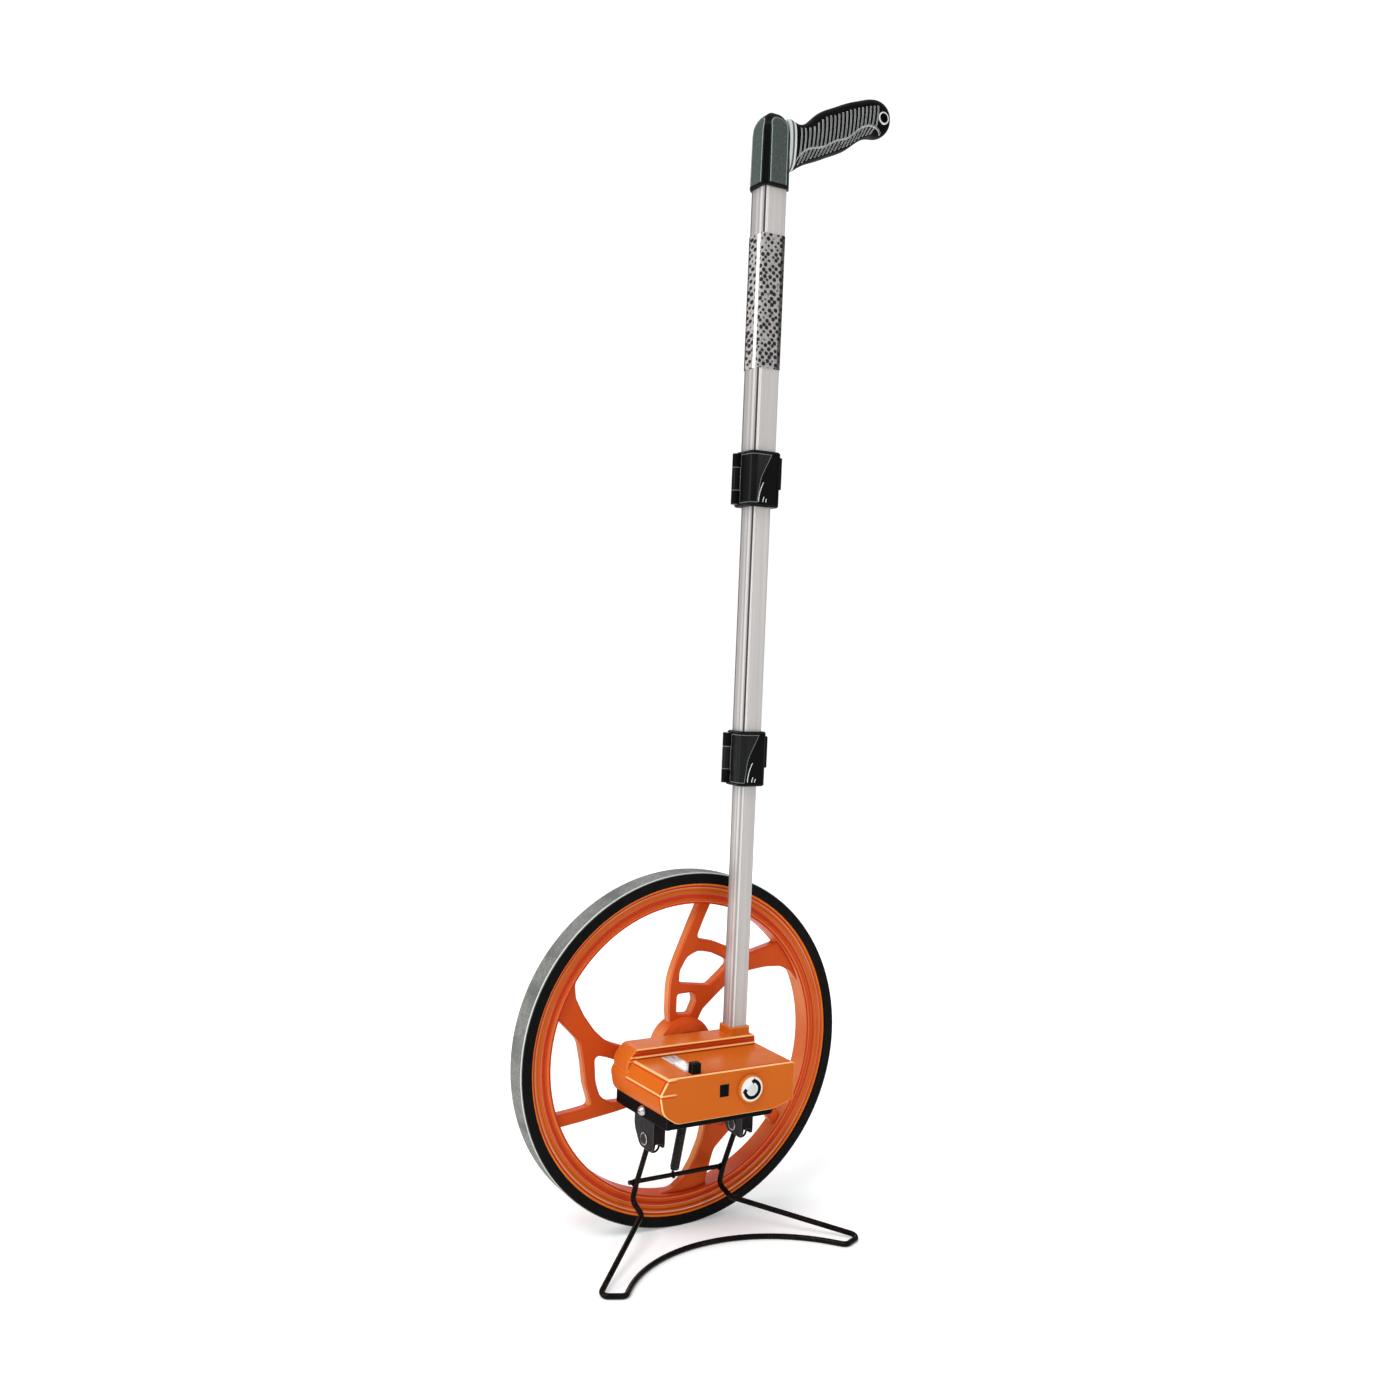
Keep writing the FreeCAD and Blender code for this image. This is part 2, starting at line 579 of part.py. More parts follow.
def make_base_plate():
    base = base_envelope()
    base = base.cut(box(-61.5, 32, BOX_FRONT_Y + 5, BOX_BACK_Y - 4, BASE_FLOOR_Z, 140))
    for x, y in BASE_SCREWS:
        base = base.fuse(rod((x, y), 5.0, BASE_BOTTOM_Z, BOX_BOTTOM_Z, "z"))
        base = base.cut(rod((x, y), SCREW_RADIUS, 120, 140, "z"))
        base = base.cut(rod((x, y), SCREW_HEAD_RADIUS + 0.2, 120, SCREW_HEAD_Z, "z"))
    side_screw_centre = (SIDE_SCREW_Y, SIDE_SCREW_Z)
    return base.cut(rod(side_screw_centre, SCREW_RADIUS, -80, SIDE_SCREW_TIP_X, "x"))


def cross_slot(x, y, z0, z1):
    """The cross cut of a screw head."""
    return box(x - 1.9, x + 1.9, y - 0.4, y + 0.4, z0, z1).fuse(
        box(x - 0.4, x + 0.4, y - 1.9, y + 1.9, z0, z1))


def make_base_screws():
    screws = []
    for x, y in BASE_SCREWS:
        head = rod((x, y), SCREW_HEAD_RADIUS, BASE_BOTTOM_Z + 0.2, SCREW_HEAD_Z, "z")
        head = head.cut(cross_slot(x, y, BASE_BOTTOM_Z, BASE_BOTTOM_Z + 1.0))
        screws.append(head.fuse(rod((x, y), SCREW_RADIUS, SCREW_HEAD_Z, 144, "z")))
    return group(screws)


def side_screw_seat_x():
    """Where the base's tapered side stands at the side screw."""
    share = (SIDE_SCREW_Y - BOX_FRONT_Y) / (BOX_BACK_Y - BOX_FRONT_Y)
    return BASE_FRONT_X + (BASE_REAR_X - BASE_FRONT_X) * share - 0.3


def make_side_screw():
    """A dome-headed screw in the side of the base."""
    centre = (SIDE_SCREW_Y, SIDE_SCREW_Z)
    seat = side_screw_seat_x()
    middle = FreeCAD.Vector(seat, SIDE_SCREW_Y, SIDE_SCREW_Z)
    dome = Part.makeSphere(SIDE_SCREW_RADIUS, middle)
    reach = SIDE_SCREW_RADIUS + 1
    outside = box(
        seat - reach, seat, SIDE_SCREW_Y - reach, SIDE_SCREW_Y + reach, SIDE_SCREW_Z - reach,
        SIDE_SCREW_Z + reach)
    head = dome.common(outside)
    slot = box(seat - 9, seat - 3.4, SIDE_SCREW_Y - 3, SIDE_SCREW_Y + 3, SIDE_SCREW_Z - 0.5,
               SIDE_SCREW_Z + 0.5)
    return head.cut(slot).fuse(rod(centre, SCREW_RADIUS, seat, SIDE_SCREW_TIP_X, "x"))


def make_counter_window():
    x0, x1, y0, y1 = WINDOW
    lens = box(x0, x1, y0, y1, BOX_TOP_Z - BOX_WALL, BOX_TOP_Z + 1.1)
    return bevel(lens, 0.7, in_plane("z", BOX_TOP_Z + 1.1))


def make_reset_mark():
    left, right, low, high = MARK
    return box(left, right, BOX_FRONT_Y - 0.4, BOX_FRONT_Y + FRONT_WALL, low, high)


def make_reset_knob():
    centre = (KNOB_X, KNOB_Z)
    disc = rod(centre, KNOB_RADIUS, BOX_FRONT_Y - 3.6, BOX_FRONT_Y - 0.3)
    disc = bevel(disc, 0.7, in_plane("y", BOX_FRONT_Y - 3.6))
    for notch in range(24):
        angle = math.radians(15 * notch)
        x = KNOB_X + (KNOB_RADIUS + 0.5) * math.cos(angle)
        z = KNOB_Z + (KNOB_RADIUS + 0.5) * math.sin(angle)
        disc = disc.cut(rod((x, z), 0.9, -110, -90))
    disc = disc.cut(rod(centre, KNOB_FACE_RADIUS, BOX_FRONT_Y - 4, BOX_FRONT_Y - 3.0))
    stem = rod(centre, 3.0, BOX_FRONT_Y - 0.3, BOX_FRONT_Y + 8)
    clip = rod(centre, 5.0, BOX_FRONT_Y + FRONT_WALL + 0.4, BOX_FRONT_Y + FRONT_WALL + 1.6)
    return disc.fuse(stem).fuse(clip)


def make_knob_face():
    face = rod((KNOB_X, KNOB_Z), KNOB_FACE_RADIUS, BOX_FRONT_Y - 3.9, BOX_FRONT_Y - 3.0)
    return bevel(face, 0.4, in_plane("y", BOX_FRONT_Y - 3.9))


def make_hold_button():
    half_x, half_y = BUTTON_HALF
    foot, top = BUTTON_Z
    button = box(
        BUTTON_X - half_x, BUTTON_X + half_x, BUTTON_Y - half_y, BUTTON_Y + half_y, foot, top)
    button = bevel(button, 0.7, in_plane("z", top))
    flange = box(
        BUTTON_X - half_x - 1, BUTTON_X + half_x + 1, BUTTON_Y - half_y - 0.8,
        BUTTON_Y + half_y + 0.6, foot, foot + 1.8)
    return button.fuse(flange)


# ---- telescopic pole ----------------------------------------------------------------------------
def make_tube(name, z0, z1):
    """A square tube with a fine groove beside one corner of each face."""
    side = TUBE_SIDES[name]
    bar = square_bar(side, TUBE_CORNER, z0, z1)
    tube = bar.cut(square_bar(bore_side(name), 1.0, z0 - 1, z1 + 1))
    groove_middle = side / 2 - TUBE_CORNER - 0.9
    groove = box(
        POLE_X - groove_middle - 0.45, POLE_X - groove_middle + 0.45,
        POLE_Y - side / 2 - 1, POLE_Y - side / 2 + 0.4, z0 - 1, z1 + 1)
    centre = FreeCAD.Vector(POLE_X, POLE_Y, 0)
    for turn in range(4):
        cutter = groove.copy()
        cutter.rotate(centre, Z_AXIS, 90 * turn)
        tube = tube.cut(cutter)
    return tube


def make_lower_tube():
    tube = make_tube("lower", *LOWER_TUBE_Z)
    return tube.cut(rod((POLE_X, TUBE_PIN_Z), TUBE_PIN_RADIUS, -60, 0))


def make_tube_pin():
    half = SOCKET_SIDE / 2
    return rod((POLE_X, TUBE_PIN_Z), TUBE_PIN_RADIUS, POLE_Y - half, POLE_Y + half)


def bore_side(name):
    """The inside width of a tube."""
    return TUBE_SIDES[name] - 2 * TUBE_WALLS[name]


def make_tube_bush(inner, outer, top_z):
    """A plastic guide plugged into a tube's top, running inside the next tube."""
    plug = square_bar(bore_side(inner), 1.0, top_z - 12, top_z)
    flange = square_bar(bore_side(outer) - 0.2, 1.0, top_z, top_z + 4)
    return plug.fuse(flange)


def clamp_sizes(inner, outer):
    """Half side of a clamp and the middle of its hinge barrel, from the pole's line."""
    half = TUBE_SIDES[outer] / 2 + CLAMP_WALL
    return half, (-half - HINGE_PROUD, 7.0)


BARREL_RADIUS = 4.3
LEVER_DEPTH = 2.6
LUG_PROUD = 1.4
HINGE_PROUD = 1.2
HINGE_PIN_RADIUS = 1.5
DRAW_SCREW_RADIUS = 2.6


def lever_zone(half, z0, z1, grow):
    """The space a clamp lever fills: over the -X face, round the corner and onto the -Y face."""
    outer = square_bar(2 * half, 6.0, z0 - grow, z1 + grow)
    inner = square_bar(2 * (half - LEVER_DEPTH - grow), 4.5, z0 - 1 - grow, z1 + 1 + grow)
    wall = outer.cut(inner)
    x0 = POLE_X - half - 1
    top_end = POLE_X + 5 + grow
    low_end = POLE_X - 9 + grow
    points = [
        FreeCAD.Vector(x0, -90, z0 - 1 - grow), FreeCAD.Vector(low_end, -90, z0 - 1 - grow),
        FreeCAD.Vector(low_end + 3, -90, (z0 + z1) / 2), FreeCAD.Vector(top_end, -90, z1 + 1 + grow),
        FreeCAD.Vector(x0, -90, z1 + 1 + grow),
    ]
    face = Part.Face(Part.Wire(rounded_edges(points, [0, 0, 24, 0, 0])))
    reach = face.extrude(FreeCAD.Vector(0, 90 + POLE_Y + 4 + grow, 0))
    return wall.common(reach)


def barrel(half, hinge, z0, z1, pin_hole):
    """One knuckle of a clamp's hinge."""
    centre = (POLE_X + hinge[0], POLE_Y + hinge[1])
    knuckle = rod(centre, BARREL_RADIUS, z0, z1, "z")
    return knuckle.cut(rod(centre, pin_hole, z0 - 1, z1 + 1, "z"))


def make_clamp(prefix, inner, outer, z0):
    """A clamp collar on the outer tube's end, its cam lever, hinge pin and draw screw."""
    half, hinge = clamp_sizes(inner, outer)
    top = z0 + CLAMP_HEIGHT
    lever_z = (z0 + 3, top - 3)
    knuckle_z = (z0 + 14, z0 + 34)
    centre = (POLE_X + hinge[0], POLE_Y + hinge[1])

    collar = square_bar(2 * half, 6.0, z0, top)
    collar = bevel(collar, 1.2, in_plane("z", top))
    collar = bevel(collar, 1.2, in_plane("z", z0))
    lug = box(
        POLE_X + half - 2, POLE_X + half + LUG_PROUD, POLE_Y - half + 3, POLE_Y - half + 11,
        z0 + 16, z0 + 44)
    lug = lug.makeFillet(1.0, [edge for edge in lug.Edges if edge.Length < 27])
    collar = collar.fuse(lug)
    for low, high in ((z0 + 2, z0 + 13.7), (z0 + 34.3, top - 2)):
        collar = collar.fuse(rod(centre, BARREL_RADIUS, low, high, "z"))
    gap = rod(centre, BARREL_RADIUS + 0.4, knuckle_z[0] - 0.3, knuckle_z[1] + 0.3, "z")
    collar = collar.cut(lever_zone(half, *lever_z, 0.35))
    collar = collar.cut(gap)
    collar = collar.cut(rod(centre, HINGE_PIN_RADIUS, z0 - 1, top + 1, "z"))
    collar = collar.cut(square_bar(TUBE_SIDES[outer], TUBE_CORNER, z0 + 8, top + 1))
    collar = collar.cut(square_bar(TUBE_SIDES[inner] + 0.2, TUBE_CORNER, z0 - 1, z0 + 9))
    screw_centre = (POLE_Y - half + 7, z0 + 30)
    seat = POLE_X + half - 0.6
    collar = collar.cut(rod(screw_centre, DRAW_SCREW_RADIUS, seat, seat + 5, "x"))
    save(prefix + "_clamp_collar", collar)

    lever = lever_zone(half, *lever_z, 0.0)
    for low, high in ((z0, knuckle_z[0]), (knuckle_z[1], top)):
        lever = lever.cut(rod(centre, BARREL_RADIUS + 0.5, low, high, "z"))
    arm = box(
        POLE_X - half, POLE_X - half + LEVER_DEPTH, POLE_Y + 2, POLE_Y + 6, *knuckle_z)
    lever = lever.fuse(arm).fuse(rod(centre, BARREL_RADIUS, *knuckle_z, "z"))
    lever = lever.cut(rod(centre, HINGE_PIN_RADIUS + RUNNING_CLEARANCE, z0, top, "z"))
    save(prefix + "_clamp_lever", lever)

    pin = rod(centre, HINGE_PIN_RADIUS, z0 + 2, top - 2, "z")
    save(prefix + "_clamp_pin", pin)

    screw = rod(screw_centre, DRAW_SCREW_RADIUS, seat, seat + 1.6, "x")
    socket = rod(screw_centre, 1.3, seat + 0.6, seat + 5, "x")
    save(prefix + "_clamp_screw", screw.cut(socket))


def make_grip_tape():
    outside = TUBE_SIDES["upper"] + 2 * TAPE_THICKNESS
    wrap = square_bar(outside, TUBE_CORNER + TAPE_THICKNESS, *TAPE_Z)
    return wrap.cut(square_bar(TUBE_SIDES["upper"], TUBE_CORNER, TAPE_Z[0] - 1, TAPE_Z[1] + 1))


# ---- head cap and grip --------------------------------------------------------------------------
CAP_SHOULDER = 46.0
CAP_RECESS = 0.9
CAP_SCREW_Z = 925.0
CAP_SCREW_RADIUS = 1.6
CAP_DOME_ANGLES = (0, 15, 28, 41, 53, 64, 73, 80)
PANEL_HALF_WIDTH = 8.3
PANEL_Z = (917.9, 967.5)
PANEL_PROUD = 0.5


def cap_solid(half):
    """The cap: a square with cut corners that closes to a dome."""
    dome_height = CAP_Z[1] - CAP_Z[0] - CAP_SHOULDER
    sections = [(0, 1.0)]
    for angle in CAP_DOME_ANGLES:
        turn = math.radians(angle)
        sections.append((CAP_SHOULDER + dome_height * math.sin(turn), 0.97 * math.cos(turn)))
    wires = []
    for height, share in sections:
        side = half * share
        inset = side - CAP_CORNER * share
        corners = [
            (side, inset), (inset, side), (-inset, side), (-side, inset),
            (-side, -inset), (-inset, -side), (inset, -side), (side, -inset),
        ]
        points = [FreeCAD.Vector(POLE_X + x, POLE_Y + y, CAP_Z[0] + height) for x, y in corners]
        wires.append(Part.makePolygon(points + points[:1]))
    return Part.makeLoft(wires, True, True)


def panel_prism(turn):
    """A tall arch that reaches from inside the cap out through one of its faces."""
    low, shoulder = PANEL_Z
    left = FreeCAD.Vector(POLE_X - PANEL_HALF_WIDTH, POLE_Y, low)
    right = FreeCAD.Vector(POLE_X + PANEL_HALF_WIDTH, POLE_Y, low)
    right_up = FreeCAD.Vector(POLE_X + PANEL_HALF_WIDTH, POLE_Y, shoulder)
    left_up = FreeCAD.Vector(POLE_X - PANEL_HALF_WIDTH, POLE_Y, shoulder)
    crown = FreeCAD.Vector(POLE_X, POLE_Y, shoulder + PANEL_HALF_WIDTH + 0.6)
    wire = Part.Wire([
        Part.LineSegment(left, right).toShape(),
        Part.LineSegment(right, right_up).toShape(),
        Part.Arc(right_up, crown, left_up).toShape(),
        Part.LineSegment(left_up, left).toShape(),
    ])
    prism = Part.Face(wire).extrude(FreeCAD.Vector(0, -30, 0))
    prism.rotate(FreeCAD.Vector(POLE_X, POLE_Y, 0), Z_AXIS, turn)
    return prism


PANEL_TURNS = (0, -90, 180)


def make_head_panels():
    proud = cap_solid(CAP_HALF_SIDE + PANEL_PROUD)
    core = cap_solid(CAP_HALF_SIDE - CAP_RECESS)
    shell = proud.cut(core)
    panels = [shell.common(panel_prism(turn)) for turn in PANEL_TURNS]
    return group([solid for panel in panels for solid in panel.Solids])


def make_head_cap():
    cap = cap_solid(CAP_HALF_SIDE)
    for turn in PANEL_TURNS:
        recess = cap_solid(CAP_HALF_SIDE + 2).cut(cap_solid(CAP_HALF_SIDE - CAP_RECESS))
        cap = cap.cut(recess.common(panel_prism(turn)))
    cap = cap.cut(square_bar(TUBE_SIDES["upper"], TUBE_CORNER, 900, UPPER_TUBE_Z[1]))
    hole = rod((POLE_Y, CAP_SCREW_Z), CAP_SCREW_RADIUS, POLE_X, POLE_X + 30, "x")
    return cap.cut(hole)


def make_cap_screw():
    half = TUBE_SIDES["upper"] / 2
    tip = POLE_X + CAP_HALF_SIDE - 0.4
    return rod((POLE_Y, CAP_SCREW_Z), CAP_SCREW_RADIUS, POLE_X + half, tip, "x")


# Side view of the grip: x, underside z, top z and half width, from the cap out to the butt.
GRIP_SECTIONS = [
    (48.7, 933.5, 979.5, 10.5), (58.2, 938, 979.5, 11.0), (70.2, 946, 982, 11.8),
    (82.2, 951.5, 993, 12.4), (96.2, 958.5, 1001, 12.6), (112.2, 967, 1009, 12.6),
    (126.2, 978, 1014.5, 12.6), (140, 984.5, 1018.5, 12.6), (150, 986.5, 1017, 11.8),
    (155.5, 991, 1012.5, 9.4), (158.5, 997, 1006.5, 4.6),
]
SEAM = [
    (55.2, 939), (59.2, 949), (67.2, 956), (83.2, 961.5), (97.2, 970), (107.2, 974), (118.2, 983),
    (129.2, 990), (138, 991), (146.5, 987.5),
]
SLEEVE_THICKNESS = 1.1
SLEEVE_START_X = 55.2
RIB_PITCH = 4.2
RIB_GAP = 1.1
RIB_END_X = 139.5


def grip_solid(inset):
    """The grip's body as a loft through rounded sections; inset makes a smaller one inside it."""
    wires = []
    for x, low, high, half_width in GRIP_SECTIONS:
        middle = (low + high) / 2
        half_height = (high - low) / 2 - inset
        half = half_width - inset
        points = []
        for step in range(12):
            angle = 2 * math.pi * step / 12
            side = math.copysign(abs(math.cos(angle)) ** 0.8, math.cos(angle))
            rise = math.copysign(abs(math.sin(angle)) ** 0.8, math.sin(angle))
            points.append(FreeCAD.Vector(x, POLE_Y + half * side, middle + half_height * rise))
        curve = Part.BSplineCurve()
        curve.interpolate(points, PeriodicFlag=True)
        wires.append(Part.Wire(curve.toShape()))
    return Part.makeLoft(wires, True, False)


def seam_height(x):
    """Height of the wavy seam at x."""
    for (x0, z0), (x1, z1) in zip(SEAM, SEAM[1:]):
        if x0 <= x <= x1:
            return z0 + (z1 - z0) * (x - x0) / (x1 - x0)
    return SEAM[0][1] if x < SEAM[0][0] else SEAM[-1][1]


def section_heights(x):
    """Underside and top of the grip at x."""
    for first, second in zip(GRIP_SECTIONS, GRIP_SECTIONS[1:]):
        if first[0] <= x <= second[0]:
            share = (x - first[0]) / (second[0] - first[0])
            low = first[1] + (second[1] - first[1]) * share
            high = first[2] + (second[2] - first[2]) * share
            return low, high
    return GRIP_SECTIONS[-1][1:3]


def rib_gap(x_low, z_low, x_high, z_high):
    """A slot through both sides of the sleeve, from a low point to a high one."""
    outline = [
        (x_low - RIB_GAP / 2, z_low, 0), (x_low + RIB_GAP / 2, z_low, 0),
        (x_high + RIB_GAP / 2, z_high, 0), (x_high - RIB_GAP / 2, z_high, 0),
    ]
    return side_plate(outline, POLE_Y - 30, POLE_Y + 30)


def seam_gap():
    """The wavy slot between the upper ribs and the lower ones."""
    upper = [FreeCAD.Vector(x, POLE_Y - 30, z + 0.6) for x, z in SEAM]
    lower = [FreeCAD.Vector(x, POLE_Y - 30, z - 0.6) for x, z in SEAM]
    top_curve = Part.BSplineCurve()
    top_curve.interpolate(upper)
    low_curve = Part.BSplineCurve()
    low_curve.interpolate(lower)
    wire = Part.Wire([
        low_curve.toShape(), Part.LineSegment(lower[-1], upper[-1]).toShape(),
        top_curve.toShape(), Part.LineSegment(upper[0], lower[0]).toShape(),
    ])
    return Part.Face(wire).extrude(FreeCAD.Vector(0, 60, 0))


def make_grip():
    """The grip's core and the ribbed rubber sleeve moulded over it."""
    outer = grip_solid(0)
    core = grip_solid(SLEEVE_THICKNESS)
    neck = outer.common(box(40, SLEEVE_START_X, -60, 0, 900, 1030))
    eyelet_hole = rod((EYELET_X, EYELET_Z), EYELET_RADIUS, -60, 0)
    whole_core = core.fuse(neck).cut(eyelet_hole).cut(cap_solid(CAP_HALF_SIDE + 0.02))
    save("grip_core", whole_core)

    sleeve = outer.cut(core).cut(box(40, SLEEVE_START_X, -60, 0, 900, 1030))
    slots = [seam_gap()]
    x = SLEEVE_START_X + 4.0
    while x < RIB_END_X:
        low, high = section_heights(x)
        margin = 6.5 if x < 90 else 8.0
        slots.append(rib_gap(x, seam_height(x), x + 1.5, high - margin))
        if x < RIB_END_X - 3:
            seam = seam_height(x + 3.0)
            low, high = section_heights(x)
            slots.append(rib_gap(x, low + 3.2, x + 3.0, seam))
        x += RIB_PITCH
    sleeve = sleeve.cut(slots).cut(eyelet_hole)
    save("grip_sleeve", sleeve, merge_faces=False)


def make_lanyard_eyelet():
    start = POLE_Y - EYELET_HALF_LENGTH
    end = POLE_Y + EYELET_HALF_LENGTH
    ring = rod((EYELET_X, EYELET_Z), EYELET_RADIUS, start, end)
    return ring.cut(rod((EYELET_X, EYELET_Z), EYELET_BORE_RADIUS, start - 1, end + 1))


# ---- stand --------------------------------------------------------------------------------------
EAR_HALF_GAP = 3.5
EAR_THICKNESS = 2.2
BRACKET_Y = (-56.0, -21.0)
BRACKET_BOTTOM_Z = 89.0
BRACKET_FRONT_Z = 96.5
SHORT_EAR_Z = 92.8
EYE_RADIUS = 4.8
EYE_LENGTH = 6.4
# One leg from the eye to the toe, as (shift, sideways, y, z, corner radius). Sideways is measured
# from the stand's middle; shift moves both legs to one side, as the wire is bent a little askew.
LEG = [
    (-2.6, 43.6, CROSSBAR_Y, CROSSBAR_Z, 30), (-2.3, 44.2, -17.0, 33.8, 6), (0.4, 45.1, -32, 27, 7),
    (9.4, 128.1, -102.5, WIRE_RADIUS, 5), (8.5, 107.9, -111.5, WIRE_RADIUS, 5),
]
ARCH_ANGLE = math.radians(49.5)
ARCH_RUN = 12.0
BAR_Y = CROSSBAR_Y + WIRE_RADIUS + CROSSBAR_RADIUS + 0.2
SPRING_RADIUS = 3.5
SPRING_TOP = (-36.0, 117.0)


def make_stand_bracket(side):
    middle = STAND_X + side * STAND_HALF
    outer = EAR_HALF_GAP + EAR_THICKNESS
    outline = [
        (BRACKET_Y[0], BASE_BOTTOM_Z, 0), (BRACKET_Y[1], BASE_BOTTOM_Z, 0),
        (BRACKET_Y[1], 103, 14), (PIVOT_Y + 8, BRACKET_BOTTOM_Z, 9), (BRACKET_Y[0], BRACKET_BOTTOM_Z, 7),
    ]
    block = end_plate(outline, middle - outer, middle + outer)
    gap_outline = [
        (BRACKET_Y[0] + 2.4, BASE_BOTTOM_Z - 2.4, 3), (BRACKET_Y[1] + 3, BASE_BOTTOM_Z - 2.4, 0),
        (BRACKET_Y[1] + 3, 70, 0), (BRACKET_Y[0] - 3, 70, 0), (BRACKET_Y[0] - 3, BRACKET_FRONT_Z, 0),
        (BRACKET_Y[0] + 2.4, BRACKET_FRONT_Z, 0),
    ]
    gap = end_plate(gap_outline, middle - EAR_HALF_GAP, middle + EAR_HALF_GAP)
    hole = rod((PIVOT_Y, PIVOT_Z), PIN_RADIUS, middle - 20, middle + 20, "x")
    below_short_ear = box(
        middle + EAR_HALF_GAP, middle + outer + 1, BRACKET_Y[0] - 1, BRACKET_Y[1] + 1,
        BRACKET_BOTTOM_Z - 1, SHORT_EAR_Z)
    return block.cut(gap).cut(hole).cut(below_short_ear)


def make_stand_pivot_pins():
    pins = []
    reach = EAR_HALF_GAP + EAR_THICKNESS
    for side in (-1, 1):
        middle = STAND_X + side * STAND_HALF
        pin = rod((PIVOT_Y, PIVOT_Z), PIN_RADIUS, middle - reach, middle + reach, "x")
        for start in (middle - reach - 1.4, middle + reach):
            head = rod((PIVOT_Y, PIVOT_Z), 4.0, start, start + 1.4, "x")
            pin = pin.fuse(head)
        pins.append(pin)
    return group(pins)


def leg_points(side):
    """The bend points of one leg, from inside its eye to the start of the arch."""
    bends = [FreeCAD.Vector(shift + side * across, y, z) for shift, across, y, z, radius in LEG]
    eye = FreeCAD.Vector(side * STAND_HALF, PIVOT_Y, PIVOT_Z)
    start = eye + (bends[0] - eye).normalize() * (EYE_RADIUS - 1.2)
    tangent = FreeCAD.Vector(-side * math.cos(ARCH_ANGLE), math.sin(ARCH_ANGLE), 0)
    return [start] + bends + [bends[-1] + tangent * ARCH_RUN]


def make_stand_wire():
    """The stand: one bent wire with an eye welded to each end."""
    right = leg_points(1)
    left = leg_points(-1)
    half_span = (right[-1].x - left[-1].x) / 2
    arch_radius = half_span / math.sin(ARCH_ANGLE)
    apex_y = right[-1].y + arch_radius * (1 - math.cos(ARCH_ANGLE))
    apex = FreeCAD.Vector(right[-1].x - half_span, apex_y, WIRE_RADIUS)
    radii = [0] + [bend[-1] for bend in LEG] + [0]
    edges = rounded_edges(right, radii, closed=False)
    edges.append(Part.Arc(right[-1], apex, left[-1]).toShape())
    edges += rounded_edges(left[::-1], radii[::-1], closed=False)
    path = Part.Wire(edges)
    circle = Part.makeCircle(WIRE_RADIUS, right[0], right[1] - right[0])
    wire = path.makePipeShell([Part.Wire(circle)], True, False)
    expected = math.pi * WIRE_RADIUS ** 2 * path.Length
    print("wire volume share", round(wire.Volume / expected, 4), "length", round(path.Length, 1))
    for side in (-1, 1):
        start = side * STAND_HALF - EYE_LENGTH / 2
        wire = wire.fuse(rod((PIVOT_Y, PIVOT_Z), EYE_RADIUS, start, start + EYE_LENGTH, "x"))
    bore = rod((PIVOT_Y, PIVOT_Z), PIN_RADIUS + RUNNING_CLEARANCE, -80, 80, "x")
    wire = wire.cut(bore)
    wire.translate(FreeCAD.Vector(STAND_X, 0, 0))
    return wire


def make_stand_crossbar():
    """The bar welded behind both legs, which holds the spring's lower hook."""
    start = STAND_X - STAND_HALF - 7.5
    end = STAND_X + STAND_HALF - 0.5
    bar = rod((BAR_Y, CROSSBAR_Z), CROSSBAR_RADIUS, start, end, "x")
    return bevel(bar, 0.5, in_plane("x", start))


def make_spring_anchor():
    """A small eye plate under the base for the spring's upper hook."""
    outline = [
        (SPRING_TOP[0] - 7, BASE_BOTTOM_Z, 0), (SPRING_TOP[0] + 7, BASE_BOTTOM_Z, 0),
        (SPRING_TOP[0] + 4, SPRING_TOP[1] - 3, 4), (SPRING_TOP[0] - 4, SPRING_TOP[1] - 3, 4),
    ]
    plate = end_plate(outline, SPRING_X - 1, SPRING_X + 1)
    hole = rod((SPRING_TOP[0], SPRING_TOP[1] + 1.5), 1.5, SPRING_X - 5, SPRING_X + 5, "x")
    return plate.cut(hole)


def make_stand_spring():
    """The closed coils of the stand's extension spring."""
    top = FreeCAD.Vector(SPRING_X, SPRING_TOP[0], SPRING_TOP[1] - 4)
    low = FreeCAD.Vector(SPRING_X, BAR_Y - 0.2, CROSSBAR_Z + 4)
    along = low - top
    return Part.makeCylinder(SPRING_RADIUS, along.Length, top, along)


